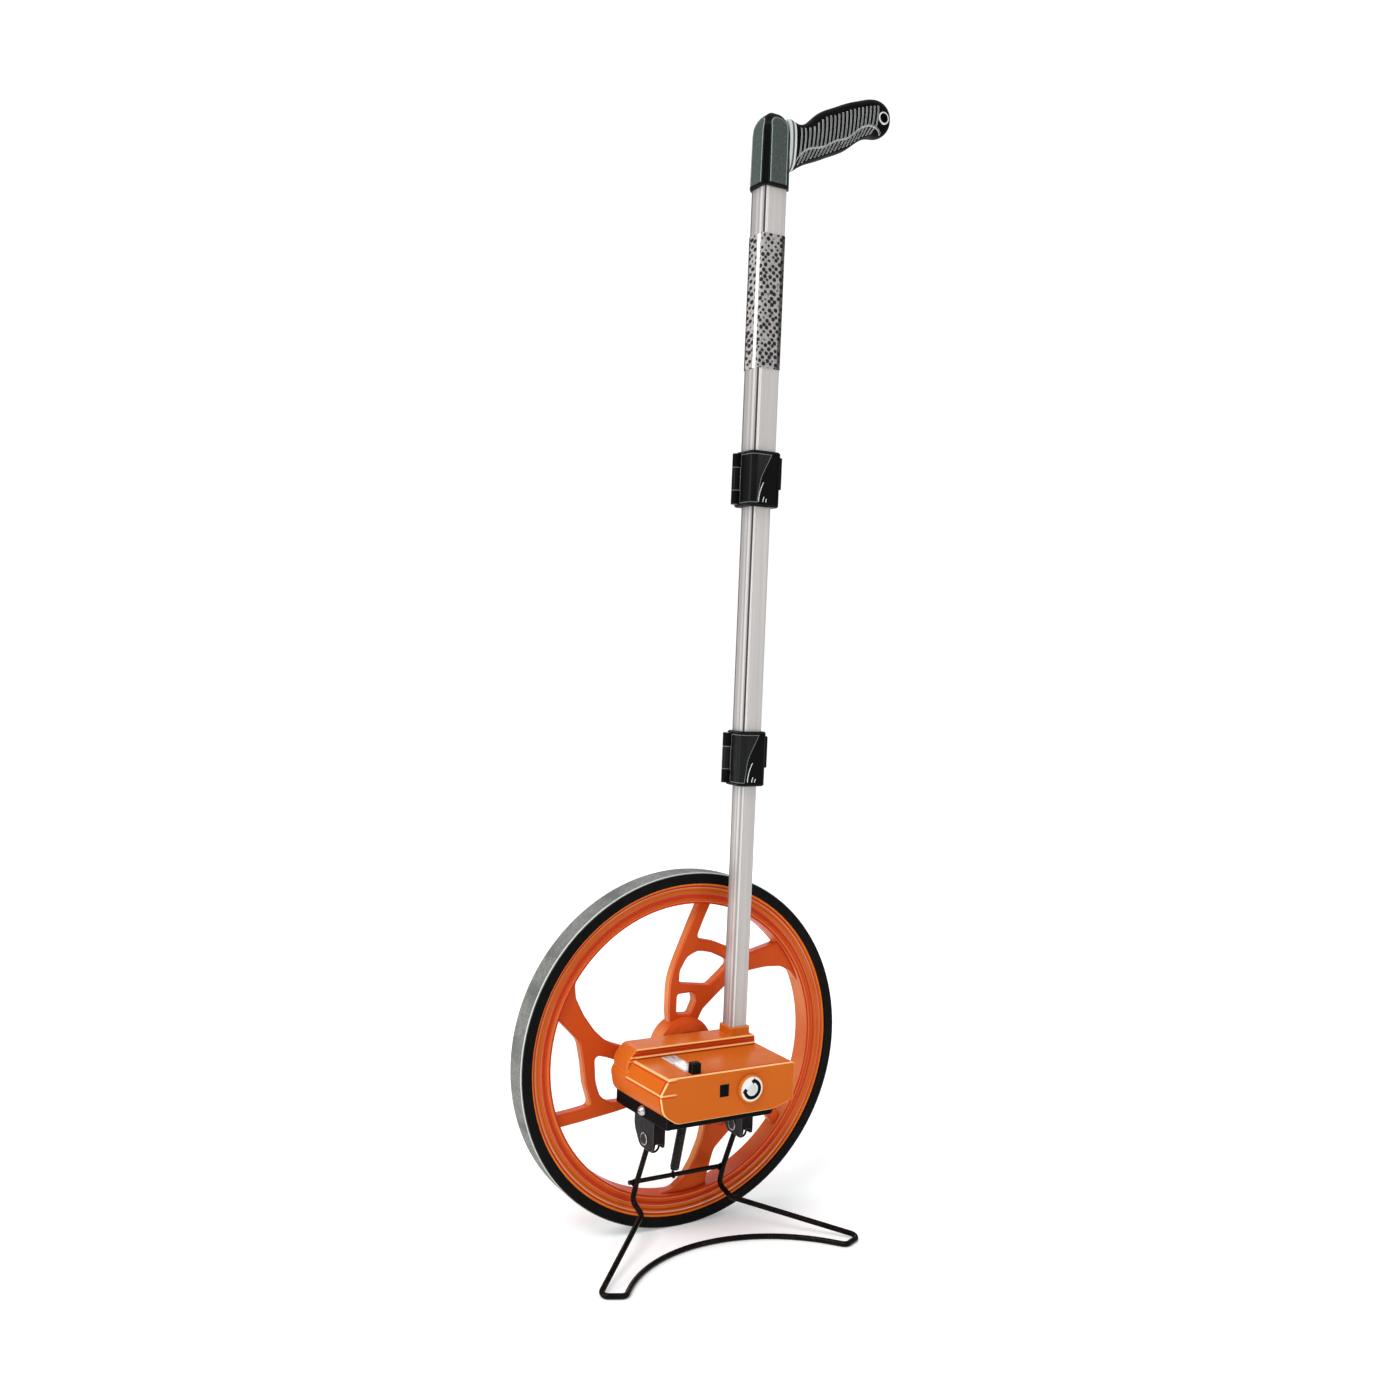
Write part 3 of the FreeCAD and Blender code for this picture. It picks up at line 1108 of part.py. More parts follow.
# ---- build --------------------------------------------------------------------------------------
def main():
    os.makedirs("parts", exist_ok=True)
    save("wheel_rim", make_wheel_rim())
    save("tyre", make_tyre())
    save("hub_bushes", make_hub_bushes())
    save("hub_cap", make_hub_cap())
    save("drive_gear", make_drive_gear())
    save("idler_gear", make_idler_gear())
    save("counter_gear", make_counter_gear())
    for index in range(NUMBER_WHEELS):
        save("number_wheel_" + str(index + 1), make_number_wheel(index))
    save("axle", make_axle())
    save("axle_clip", make_axle_clip())
    save("axle_washers", make_axle_washers())
    save("axle_nut", make_axle_nut())
    save("counter_frame", make_counter_frame())
    save("counter_shaft", make_counter_shaft())
    save("idler_pin", make_idler_pin())
    save("counter_housing", make_counter_housing())
    save("base_plate", make_base_plate())
    save("base_screws", make_base_screws())
    save("side_screw", make_side_screw())
    save("counter_window", make_counter_window())
    save("reset_mark", make_reset_mark())
    save("reset_knob", make_reset_knob())
    save("knob_face", make_knob_face())
    save("hold_button", make_hold_button())
    save("lower_tube", make_lower_tube())
    save("tube_pin", make_tube_pin())
    save("lower_tube_bush", make_tube_bush("lower", "middle", LOWER_TUBE_Z[1]))
    save("middle_tube", make_tube("middle", *MIDDLE_TUBE_Z))
    save("middle_tube_bush", make_tube_bush("middle", "upper", MIDDLE_TUBE_Z[1]))
    save("upper_tube", make_tube("upper", *UPPER_TUBE_Z))
    make_clamp("lower", "lower", "middle", LOWER_CLAMP_Z)
    make_clamp("upper", "middle", "upper", UPPER_CLAMP_Z)
    save("grip_tape", make_grip_tape())
    save("head_cap", make_head_cap())
    save("head_panels", make_head_panels())
    save("cap_screw", make_cap_screw())
    make_grip()
    save("lanyard_eyelet", make_lanyard_eyelet())
    save("stand_bracket_left", make_stand_bracket(-1))
    save("stand_bracket_right", make_stand_bracket(1))
    save("stand_pivot_pins", make_stand_pivot_pins())
    save("stand_wire", make_stand_wire())
    save("stand_crossbar", make_stand_crossbar())
    save("spring_anchor", make_spring_anchor())
    save("stand_spring", make_stand_spring())


main()
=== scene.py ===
import math

import bpy
from mathutils import Matrix, Vector


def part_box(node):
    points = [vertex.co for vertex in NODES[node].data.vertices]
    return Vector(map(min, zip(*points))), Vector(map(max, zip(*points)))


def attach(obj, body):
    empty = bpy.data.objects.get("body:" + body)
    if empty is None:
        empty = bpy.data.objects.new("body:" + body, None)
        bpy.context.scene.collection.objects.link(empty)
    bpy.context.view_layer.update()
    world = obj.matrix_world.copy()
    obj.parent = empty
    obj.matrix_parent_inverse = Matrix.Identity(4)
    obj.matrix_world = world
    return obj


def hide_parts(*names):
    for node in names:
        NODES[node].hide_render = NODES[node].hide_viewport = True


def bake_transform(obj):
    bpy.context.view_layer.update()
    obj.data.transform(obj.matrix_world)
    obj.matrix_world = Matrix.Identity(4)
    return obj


# The looks of a measuring wheel: camera, light, materials, and the pieces finer than the CAD model.
# Everything is in metres in the model's own frame: the wheel rolls along X, the grip points to +X,
# and the counter box and the stand are on -Y.

MM = 0.001

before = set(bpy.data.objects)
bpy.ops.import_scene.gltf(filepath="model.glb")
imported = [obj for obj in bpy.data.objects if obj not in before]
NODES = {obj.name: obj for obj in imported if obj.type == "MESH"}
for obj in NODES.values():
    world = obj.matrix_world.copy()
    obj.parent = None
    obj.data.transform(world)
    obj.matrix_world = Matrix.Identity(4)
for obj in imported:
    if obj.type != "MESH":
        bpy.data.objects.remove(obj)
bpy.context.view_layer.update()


# ---- camera and light ---------------------------------------------------------------------------
CAMERA_PLACE = Vector((-594.4, -1029.9, 516.8)) * MM
CAMERA_AZIMUTH = math.radians(-30.23)
CAMERA_ELEVATION = math.radians(2.2)
CAMERA_ROLL = math.radians(2.31)
FOCAL_LENGTH_MM = 34.39


def axes_matrix(right, up, back, place):
    """A matrix whose columns are the three axes and the place."""
    return Matrix((
        (right.x, up.x, back.x, place.x),
        (right.y, up.y, back.y, place.y),
        (right.z, up.z, back.z, place.z),
        (0, 0, 0, 1),
    ))


def make_camera():
    """The camera, turned about Z, then tilted, then rolled about its own line of sight."""
    level_right = Vector((math.cos(CAMERA_AZIMUTH), math.sin(CAMERA_AZIMUTH), 0))
    level_back = Vector((math.sin(CAMERA_AZIMUTH), -math.cos(CAMERA_AZIMUTH), 0))
    back = level_back * math.cos(CAMERA_ELEVATION)
    back.z = math.sin(CAMERA_ELEVATION)
    level_up = back.cross(level_right)
    right = level_right * math.cos(CAMERA_ROLL) + level_up * math.sin(CAMERA_ROLL)
    up = level_up * math.cos(CAMERA_ROLL) - level_right * math.sin(CAMERA_ROLL)
    data = bpy.data.cameras.new("camera")
    data.sensor_width = 36
    data.lens = FOCAL_LENGTH_MM
    data.clip_start = 0.01
    data.clip_end = 100
    camera = bpy.data.objects.new("camera", data)
    camera.matrix_world = axes_matrix(right, up, back, CAMERA_PLACE)
    bpy.context.scene.collection.objects.link(camera)
    bpy.context.scene.camera = camera


def aim(light, place, target):
    """Put a lamp at a place, shining at the target."""
    light.location = place
    light.rotation_mode = "QUATERNION"
    light.rotation_quaternion = (Vector(place) - Vector(target)).to_track_quat("Z", "Y")
    bpy.context.scene.collection.objects.link(light)


def soft_box(name, place, size, power):
    """A rectangular lamp that shines at the lower pole."""
    data = bpy.data.lights.new(name, "AREA")
    data.shape = "RECTANGLE"
    data.size, data.size_y = size
    data.energy = power
    aim(bpy.data.objects.new(name, data), place, (0, 0, 0.35))


def make_light():
    """A soft sun, three soft boxes and a pale world, which the camera sees as white."""
    sun = bpy.data.lights.new("sun", "SUN")
    sun.energy = 1.3
    sun.angle = math.radians(26)
    aim(bpy.data.objects.new("sun", sun), (-2.0, -1.4, 3.4), (0, 0, 0))
    soft_box("left_box", (-2.4, 0.1, 1.1), (1.2, 2.0), 26)
    soft_box("right_box", (1.5, -2.4, 1.2), (0.7, 1.8), 9)
    soft_box("back_box", (0.8, 2.4, 1.6), (1.6, 1.2), 18)

    world = bpy.data.worlds.new("studio")
    bpy.context.scene.world = world
    world.use_nodes = True
    tree = world.node_tree
    tree.nodes.clear()
    output = tree.nodes.new("ShaderNodeOutputWorld")
    seen = tree.nodes.new("ShaderNodeBackground")
    seen.inputs["Color"].default_value = (1, 1, 1, 1)
    seen.inputs["Strength"].default_value = 1.05
    lit = tree.nodes.new("ShaderNodeBackground")
    lit.inputs["Strength"].default_value = 1.0
    place = tree.nodes.new("ShaderNodeTexCoord")
    split = tree.nodes.new("ShaderNodeSeparateXYZ")
    ramp = tree.nodes.new("ShaderNodeValToRGB")
    ramp.color_ramp.elements[0].position = 0.0
    ramp.color_ramp.elements[0].color = (0.13, 0.133, 0.136, 1)
    ramp.color_ramp.elements[1].position = 0.9
    ramp.color_ramp.elements[1].color = (0.72, 0.735, 0.75, 1)
    path = tree.nodes.new("ShaderNodeLightPath")
    mix = tree.nodes.new("ShaderNodeMixShader")
    tree.links.new(place.outputs["Generated"], split.inputs[0])
    tree.links.new(split.outputs["Z"], ramp.inputs["Fac"])
    tree.links.new(ramp.outputs["Color"], lit.inputs["Color"])
    tree.links.new(path.outputs["Is Camera Ray"], mix.inputs["Fac"])
    tree.links.new(lit.outputs[0], mix.inputs[1])
    tree.links.new(seen.outputs[0], mix.inputs[2])
    tree.links.new(mix.outputs[0], output.inputs["Surface"])
    bpy.context.scene.view_settings.view_transform = "Standard"


make_camera()
make_light()


# ---- places on the model ------------------------------------------------------------------------
TYRE_LOW, TYRE_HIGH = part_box("tyre")
AXLE_Z = (TYRE_LOW.z + TYRE_HIGH.z) / 2
TREAD_RADIUS = (TYRE_HIGH.z - TYRE_LOW.z) / 2
TYRE_FRONT_Y = TYRE_LOW.y
BOX_FRONT_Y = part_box("counter_housing")[0].y
EYELET_LOW, EYELET_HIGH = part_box("lanyard_eyelet")
EYELET_MIDDLE = (EYELET_LOW + EYELET_HIGH) / 2
CAP_FOOT_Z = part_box("head_panels")[0].z


# ---- materials ----------------------------------------------------------------------------------
class Finish:
    """A principled material whose colour, roughness and bump come from noise patterns."""

    def __init__(self, name, colour, roughness, **sockets):
        self.material = bpy.data.materials.new(name)
        self.material.use_nodes = True
        self.tree = self.material.node_tree
        self.shader = self.tree.nodes["Principled BSDF"]
        self.shader.inputs["Base Color"].default_value = (*colour, 1)
        self.shader.inputs["Roughness"].default_value = roughness
        for socket, value in sockets.items():
            self.shader.inputs[socket.replace("_", " ")].default_value = value
        self.colour = None
        self.normal = None
        self.place = self.node("ShaderNodeTexCoord").outputs["Object"]

    def node(self, kind, **properties):
        """A new shader node with its properties set."""
        made = self.tree.nodes.new(kind)
        for name, value in properties.items():
            setattr(made, name, value)
        return made

    def join(self, output, socket):
        self.tree.links.new(output, socket)

    def stretched(self, scale):
        """The object's coordinates, scaled by a number for each axis."""
        mapping = self.node("ShaderNodeMapping")
        mapping.inputs["Scale"].default_value = scale
        self.join(self.place, mapping.inputs["Vector"])
        return mapping.outputs["Vector"]

    def noise(self, scale, detail=3.0, stretch=(1, 1, 1), distortion=0.0):
        """A cloudy pattern from 0 to 1."""
        made = self.node("ShaderNodeTexNoise")
        made.inputs["Scale"].default_value = scale
        made.inputs["Detail"].default_value = detail
        made.inputs["Distortion"].default_value = distortion
        self.join(self.stretched(stretch), made.inputs["Vector"])
        return made.outputs["Fac"]

    def ramp(self, value, low, high, first=0.0, last=1.0):
        """Value between low and high becomes first to last, and is held outside them."""
        made = self.node("ShaderNodeMapRange")
        made.inputs["From Min"].default_value = low
        made.inputs["From Max"].default_value = high
        made.inputs["To Min"].default_value = first
        made.inputs["To Max"].default_value = last
        self.join(value, made.inputs["Value"])
        return made.outputs["Result"]

    def maths(self, operation, first, second):
        """One sum of two values, each a number or an output."""
        made = self.node("ShaderNodeMath", operation=operation)
        for socket, value in zip(made.inputs, (first, second)):
            if isinstance(value, (int, float)):
                socket.default_value = value
            else:
                self.join(value, socket)
        return made.outputs[0]

    def tint(self, mask, colour, share=1.0):
        """Blend towards a colour where the mask is 1."""
        mix = self.node("ShaderNodeMix", data_type="RGBA")
        base = self.shader.inputs["Base Color"].default_value
        if self.colour is None:
            mix.inputs["A"].default_value = base
        else:
            self.join(self.colour, mix.inputs["A"])
        mix.inputs["B"].default_value = (*colour, 1)
        factor = self.maths("MULTIPLY", mask, share)
        self.join(factor, mix.inputs["Factor"])
        self.colour = mix.outputs["Result"]
        self.join(self.colour, self.shader.inputs["Base Color"])

    def rough(self, mask, first, last):
        """Roughness that runs from first to last with the pattern."""
        self.join(self.ramp(mask, 0.3, 0.7, first, last), self.shader.inputs["Roughness"])

    def bump(self, height, depth):
        """Raise the surface by up to depth, in metres."""
        made = self.node("ShaderNodeBump")
        made.inputs["Strength"].default_value = 1.0
        made.inputs["Distance"].default_value = depth
        self.join(height, made.inputs["Height"])
        if self.normal is not None:
            self.join(self.normal, made.inputs["Normal"])
        self.normal = made.outputs["Normal"]
        self.join(self.normal, self.shader.inputs["Normal"])

    def edges(self, radius):
        """A mask that is 1 on edges, where the rounded normal leaves the face's own."""
        rounded = self.node("ShaderNodeBevel", samples=6)
        rounded.inputs["Radius"].default_value = radius
        face = self.node("ShaderNodeNewGeometry")
        dot = self.node("ShaderNodeVectorMath", operation="DOT_PRODUCT")
        self.join(rounded.outputs["Normal"], dot.inputs[0])
        self.join(face.outputs["Normal"], dot.inputs[1])
        return self.ramp(dot.outputs["Value"], 0.995, 0.93)

    def axis(self, name):
        """One of the object's coordinates."""
        split = self.node("ShaderNodeSeparateXYZ")
        self.join(self.place, split.inputs[0])
        return split.outputs[name]

    def line_distance(self, x, z):
        """Distance from a line that runs along Y at that x and z."""
        across = self.maths("SUBTRACT", self.axis("X"), x)
        height = self.maths("SUBTRACT", self.axis("Z"), z)
        squares = self.maths("MULTIPLY", across, across)
        squares = self.maths("ADD", squares, self.maths("MULTIPLY", height, height))
        return self.maths("SQRT", squares, 0)

    def axle_distance(self):
        """Distance from the wheel's axle line."""
        return self.line_distance(0.0, AXLE_Z)

    def facing(self, name):
        """A mask that is 1 on walls that face the negative way along one axis."""
        split = self.node("ShaderNodeSeparateXYZ")
        self.join(self.node("ShaderNodeNewGeometry").outputs["Normal"], split.inputs[0])
        return self.ramp(split.outputs[name], -0.55, -0.85)

    def all_of(self, *masks):
        """The product of several masks."""
        product = masks[0]
        for mask in masks[1:]:
            product = self.maths("MULTIPLY", product, mask)
        return product

    def band(self, value, middle, half_width, fade):
        """A mask that is 1 where the value is near its middle."""
        away = self.maths("ABSOLUTE", self.maths("SUBTRACT", value, middle), 0)
        return self.ramp(away, half_width + fade, half_width)


def moulded(name, colour, light, dark, roughness, edge_highlight_share=0.5, grain=5e-6, shine=0.3):
    """Injection-moulded plastic: faint flow marks, fine grain, painted highlights along the edges
    and small scuffs.
    """
    finish = Finish(name, colour, roughness, Specular_IOR_Level=shine)
    finish.tint(finish.ramp(finish.noise(26, 2, (1, 1, 0.5)), 0.42, 0.7), light, 0.02)
    finish.tint(finish.ramp(finish.noise(9, 4, distortion=0.6), 0.5, 0.75), dark, 0.35)
    finish.rough(finish.noise(60, 5), roughness * 0.8, roughness * 1.25)
    finish.bump(finish.noise(1500, 2), grain)
    finish.bump(finish.ramp(finish.noise(190, 1, (4, 1, 0.3)), 0.66, 0.72), grain * 1.5)
    # Painted highlight: edges are tinted towards the light colour.
    if edge_highlight_share:
        finish.tint(finish.edges(0.9 * MM), light, edge_highlight_share)
    return finish


# Painted shade: the red of the rim's dark lines.
RED_LINE = (0.50, 0.018, 0.010)
# Colours of the box's painted shade lines and painted highlight lines.
BOX_SHADE_LINE = (0.55, 0.025, 0.010)
BOX_HIGHLIGHT_LINE = (1.0, 0.62, 0.26)
# Painted highlight and shade lines round the rim: radius and half width in millimetres, colour,
# share.
RIM_LIGHT_AND_SHADE_LINES = (
    (131.4, 0.9, RED_LINE, 0.9),
    (133.4, 0.5, (0.95, 0.36, 0.05), 0.9),
    (137.4, 0.9, RED_LINE, 0.7),
    (142.8, 2.0, (0.62, 0.15, 0.014), 0.8),
    (146.4, 0.6, RED_LINE, 0.8),
    (148.6, 0.8, (0.98, 0.26, 0.02), 1.0),
)
# Painted highlight and shade lines along the box's left-hand corners: height in millimetres,
# colour.
CORNER_LIGHT_AND_SHADE_LINES = (
    (166.4, BOX_HIGHLIGHT_LINE), (165.0, BOX_SHADE_LINE), (154.2, BOX_HIGHLIGHT_LINE), (152.6, BOX_SHADE_LINE),
)
# Painted highlight and shade lines along the ridge's beads: height and half width in millimetres,
# colour.
BEAD_LIGHT_AND_SHADE_LINES = (
    (176.0, 0.4, BOX_HIGHLIGHT_LINE),
    (174.3, 0.6, BOX_SHADE_LINE),
    (171.6, 1.0, BOX_SHADE_LINE),
    (169.4, 0.4, BOX_HIGHLIGHT_LINE),
    (167.9, 0.4, BOX_SHADE_LINE),
)


def orange_finish():
    """Orange plastic. The wheel's is redder than the box's, and both have pale painted highlight
    lines and red painted shade lines.
    """
    finish = moulded(
        "orange_plastic", (0.60, 0.125, 0.010), (0.93, 0.36, 0.07), (0.50, 0.055, 0.008), 0.36, 0.0,
        shine=0.07)
    on_wheel = finish.ramp(finish.axis("Y"), -17.5 * MM, -15.5 * MM)
    off_wheel = finish.maths("SUBTRACT", 1.0, on_wheel)
    patches = finish.ramp(finish.noise(11, 2), 0.35, 0.6, 0.35, 1.0)
    finish.tint(on_wheel, (0.60, 0.066, 0.010), 0.85)
    # Painted light: the wheel's walls that face -X are tinted paler, as if lit from the left.
    lit_left_walls = finish.all_of(finish.facing("X"), on_wheel, patches)
    finish.tint(lit_left_walls, (0.84, 0.34, 0.12), 0.8)
    wheel_lines(finish, on_wheel, patches)
    # Painted highlight along the box's edges and painted red shade along the wheel's edges.
    corners = finish.edges(0.8 * MM)
    finish.tint(finish.all_of(corners, off_wheel, patches), (0.98, 0.46, 0.10), 0.8)
    finish.tint(finish.all_of(corners, on_wheel), (0.52, 0.015, 0.010), 0.85)
    box_lines(finish, off_wheel)
    return finish


def wheel_lines(finish, on_wheel, patches):
    """Painted shade and highlight lines on the rim's front, and two pale painted highlights that
    are strongest low down.
    """
    distance = finish.axle_distance()
    front = finish.all_of(finish.facing("Y"), on_wheel)
    for radius, half_width, colour, share in RIM_LIGHT_AND_SHADE_LINES:
        line = finish.band(distance, radius * MM, half_width * MM, 0.4 * MM)
        finish.tint(finish.all_of(line, front), colour, share)
    # Painted highlight, stronger towards the bottom.
    low = finish.ramp(finish.axis("Z"), 110 * MM, 20 * MM, 0.3, 1.0)
    for radius in (139.6, 145.4):
        line = finish.band(distance, radius * MM, 0.3 * MM, 0.25 * MM)
        finish.tint(finish.all_of(line, low, patches, front), (1.0, 0.80, 0.58))


def box_lines(finish, off_wheel):
    """Painted highlight and shade lines along the box's front edge, its left-hand corners and the
    ridge's two beads.
    """
    depth = finish.axis("Y")
    height = finish.axis("Z")
    rim = finish.band(depth, BOX_FRONT_Y + 3.2 * MM, 0.9 * MM, 0.3 * MM)
    finish.tint(finish.all_of(rim, off_wheel), BOX_SHADE_LINE, 0.85)
    rim = finish.band(depth, BOX_FRONT_Y + 1.1 * MM, 0.7 * MM, 0.2 * MM)
    finish.tint(finish.all_of(rim, off_wheel), BOX_HIGHLIGHT_LINE, 0.9)
    left_end = finish.ramp(finish.axis("X"), -58 * MM, -62 * MM)
    before_ridge = finish.ramp(depth, -42 * MM, -45 * MM)
    for level, colour in CORNER_LIGHT_AND_SHADE_LINES:
        line = finish.band(height, level * MM, 0.5 * MM, 0.3 * MM)
        finish.tint(finish.all_of(line, left_end, before_ridge), colour, 0.75)
    ridge_face = finish.band(depth, -43.9 * MM, 1.1 * MM, 0.1 * MM)
    over_box = finish.ramp(height, 167.4 * MM, 167.8 * MM)
    for level, half_width, colour in BEAD_LIGHT_AND_SHADE_LINES:
        line = finish.band(height, level * MM, half_width * MM, 0.3 * MM)
        finish.tint(finish.all_of(line, ridge_face, over_box), colour, 0.8)


def tyre_finish():
    """Black sidewalls, a dusty grey tread and a pale painted highlight line along each shoulder."""
    rubber = Finish("tyre_rubber", (0.0025, 0.0025, 0.0025), 0.6, Specular_IOR_Level=0.08)
    distance = rubber.axle_distance()
    tread = rubber.ramp(distance, TREAD_RADIUS - 1.3 * MM, TREAD_RADIUS - 0.5 * MM)
    rubber.tint(tread, (0.145, 0.148, 0.138))
    mottle = rubber.ramp(rubber.noise(420, 5, distortion=0.8), 0.36, 0.68)
    rubber.tint(rubber.maths("MULTIPLY", tread, mottle), (0.27, 0.27, 0.25), 0.8)
    stain = rubber.ramp(rubber.noise(34, 3, (1, 0.4, 1)), 0.5, 0.66)
    rubber.tint(rubber.maths("MULTIPLY", tread, stain), (0.095, 0.10, 0.095), 0.75)
    outwards = rubber.maths("ABSOLUTE", rubber.axis("Y"), 0)
    shoulder = rubber.band(outwards, -TYRE_FRONT_Y - 1.6 * MM, 0.45 * MM, 0.25 * MM)
    # Painted highlight: a pale line on each shoulder's edge.
    shoulder_highlight = rubber.maths("MULTIPLY", shoulder, rubber.ramp(distance, 157.6 * MM, 158.2 * MM))
    rubber.tint(shoulder_highlight, (0.62, 0.66, 0.64), 0.9)
    rubber.rough(rubber.noise(120, 4), 0.5, 0.75)
    rubber.bump(rubber.noise(900, 3), 5e-5)
    return rubber


def corner_coordinate(finish, section):
    """Distance round the pole from the corner at -X and -Y: plus over -Y, minus over -X."""
    low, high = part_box(section + "_tube")
    across = finish.maths("SUBTRACT", finish.axis("X"), (low.x + high.x) / 2)
    depth = finish.maths("SUBTRACT", finish.axis("Y"), (low.y + high.y) / 2)
    return finish.maths("SUBTRACT", across, depth)


def tape_finish():
    """Pale tape with staggered rows of black dimples and a plain strip beside one corner."""
    tape = Finish("grip_tape", (0.40, 0.375, 0.365), 0.62, Specular_IOR_Level=0.15)
    place_round = corner_coordinate(tape, "upper")
    cells = tape.node("ShaderNodeTexVoronoi")
    cells.inputs["Scale"].default_value = 225
    cells.inputs["Randomness"].default_value = 0.4
    joined = tape.node("ShaderNodeCombineXYZ")
    front_part = tape.maths("MULTIPLY", tape.maths("MAXIMUM", place_round, 0.0), 0.95)
    left_part = tape.maths("MULTIPLY", tape.maths("MINIMUM", place_round, 0.0), 0.6)
    tape.join(tape.maths("ADD", front_part, left_part), joined.inputs["X"])
    tape.join(tape.axis("Z"), joined.inputs["Y"])
    turned = tape.node("ShaderNodeMapping")
    turned.inputs["Rotation"].default_value = (0, 0, math.radians(38))
    tape.join(joined.outputs[0], turned.inputs["Vector"])
    tape.join(turned.outputs["Vector"], cells.inputs["Vector"])
    dimples = tape.ramp(cells.outputs["Distance"], 0.47, 0.36)
    tape.tint(tape.ramp(tape.noise(420, 3), 0.52, 0.62), (0.16, 0.15, 0.145), 0.6)
    tape.tint(dimples, (0.006, 0.006, 0.006), 0.97)
    strip = tape.band(place_round, -6.2 * MM, 2.3 * MM, 0.6 * MM)
    tape.tint(strip, (0.86, 0.85, 0.84), 0.92)
    for edge in (-22.0, 21.0):
        tape.tint(tape.band(place_round, edge * MM, 1.3 * MM, 0.8 * MM), (0.006, 0.006, 0.006), 0.8)
    tape.bump(tape.maths("SUBTRACT", 1.0, dimples), 1.5e-4)
    tape.bump(tape.noise(1600, 2), 3e-5)
    return tape


def tube_finish(section):
    """Brushed square tube, with a painted shade line on its corner, faint on the lowest, painted
    shade on the walls facing -X, and bands of painted reflection, pale ones and one dark.
    """
    tube = Finish(
        section + "_tube", (0.50, 0.468, 0.448), 0.46, Metallic=0.35, Specular_IOR_Level=0.3)
    tube.tint(tube.ramp(tube.noise(210, 4, (1, 1, 0.012)), 0.35, 0.7), (0.60, 0.575, 0.555), 0.7)
    tube.tint(tube.ramp(tube.noise(14, 3), 0.55, 0.8), (0.42, 0.385, 0.365), 0.3)
    tube.tint(tube.ramp(tube.noise(95, 2, (1, 1, 0.008)), 0.58, 0.66), (0.36, 0.32, 0.31), 0.35)
    place_round = corner_coordinate(tube, section)
    low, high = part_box(section + "_tube")
    side = high.x - low.x
    # Painted reflections and shade round the tube: middle and half width across the corner, colour,
    # share. The last is the painted shade line on the corner.
    light_and_shade_bands = (
        (-0.92 * side, 0.06 * side, (0.16, 0.14, 0.13), 0.7),
        (-0.50 * side, 0.07 * side, (0.62, 0.60, 0.59), 0.6),
        (-0.22 * side, 0.07 * side, (0.74, 0.72, 0.71), 0.8),
        (0.12 * side, 0.05 * side, (0.90, 0.88, 0.87), 0.8),
        (0.012 * side, 1.0 * MM, (0.03, 0.025, 0.02), 0.3 if section == "lower" else 0.95),
    )
    # Painted shade on the walls that face -X.
    tube.tint(tube.facing("X"), (0.37, 0.34, 0.33), 0.75)
    for middle, half_width, colour, share in light_and_shade_bands:
        tube.tint(tube.band(place_round, middle, half_width, 0.5 * MM), colour, share)
    tube.rough(tube.noise(300, 3, (1, 1, 0.02)), 0.38, 0.56)
    tube.bump(tube.noise(900, 2, (1, 1, 0.01)), 6e-6)
    return tube


def panel_finish():
    """Textured grey panels with a pale painted highlight round their arched borders and a black
    foot.
    """
    panel = moulded(
        "grey_plastic", (0.060, 0.074, 0.067), (0.34, 0.46, 0.41), (0.040, 0.048, 0.044), 0.5, 0.0,
        grain=2e-5, shine=0.08)
    panel.tint(panel.ramp(panel.noise(500, 3), 0.5, 0.6), (0.11, 0.125, 0.115), 0.4)
    # Painted highlight on the panels' edges.
    panel.tint(panel.edges(1.5 * MM), (0.42, 0.56, 0.50))
    foot = panel.ramp(panel.axis("Z"), CAP_FOOT_Z + 1.7 * MM, CAP_FOOT_Z + 1.1 * MM)
    panel.tint(foot, (0.003, 0.003, 0.003))
    return panel


def core_finish():
    """The grip's pale core, dark where its neck meets the rubber."""
    core = moulded(
        "core_plastic", (0.66, 0.68, 0.67), (0.85, 0.87, 0.86), (0.42, 0.44, 0.43), 0.4)
    core.tint(core.band(core.axis("X"), 52.4 * MM, 0.8 * MM, 0.3 * MM), (0.01, 0.01, 0.01), 0.9)
    return core


def eyelet_finish():
    """A pale ring with painted shade inside its bore."""
    eyelet = moulded(
        "eyelet_plastic", (0.72, 0.75, 0.74), (0.9, 0.9, 0.9), (0.5, 0.5, 0.5), 0.4, 0.0)
    distance = eyelet.line_distance(EYELET_MIDDLE.x, EYELET_MIDDLE.z)
    # Painted shade inside the bore.
    bore_shade = eyelet.ramp(distance, 4.5 * MM, 4.2 * MM)
    eyelet.tint(bore_shade, (0.003, 0.003, 0.003))
    return eyelet


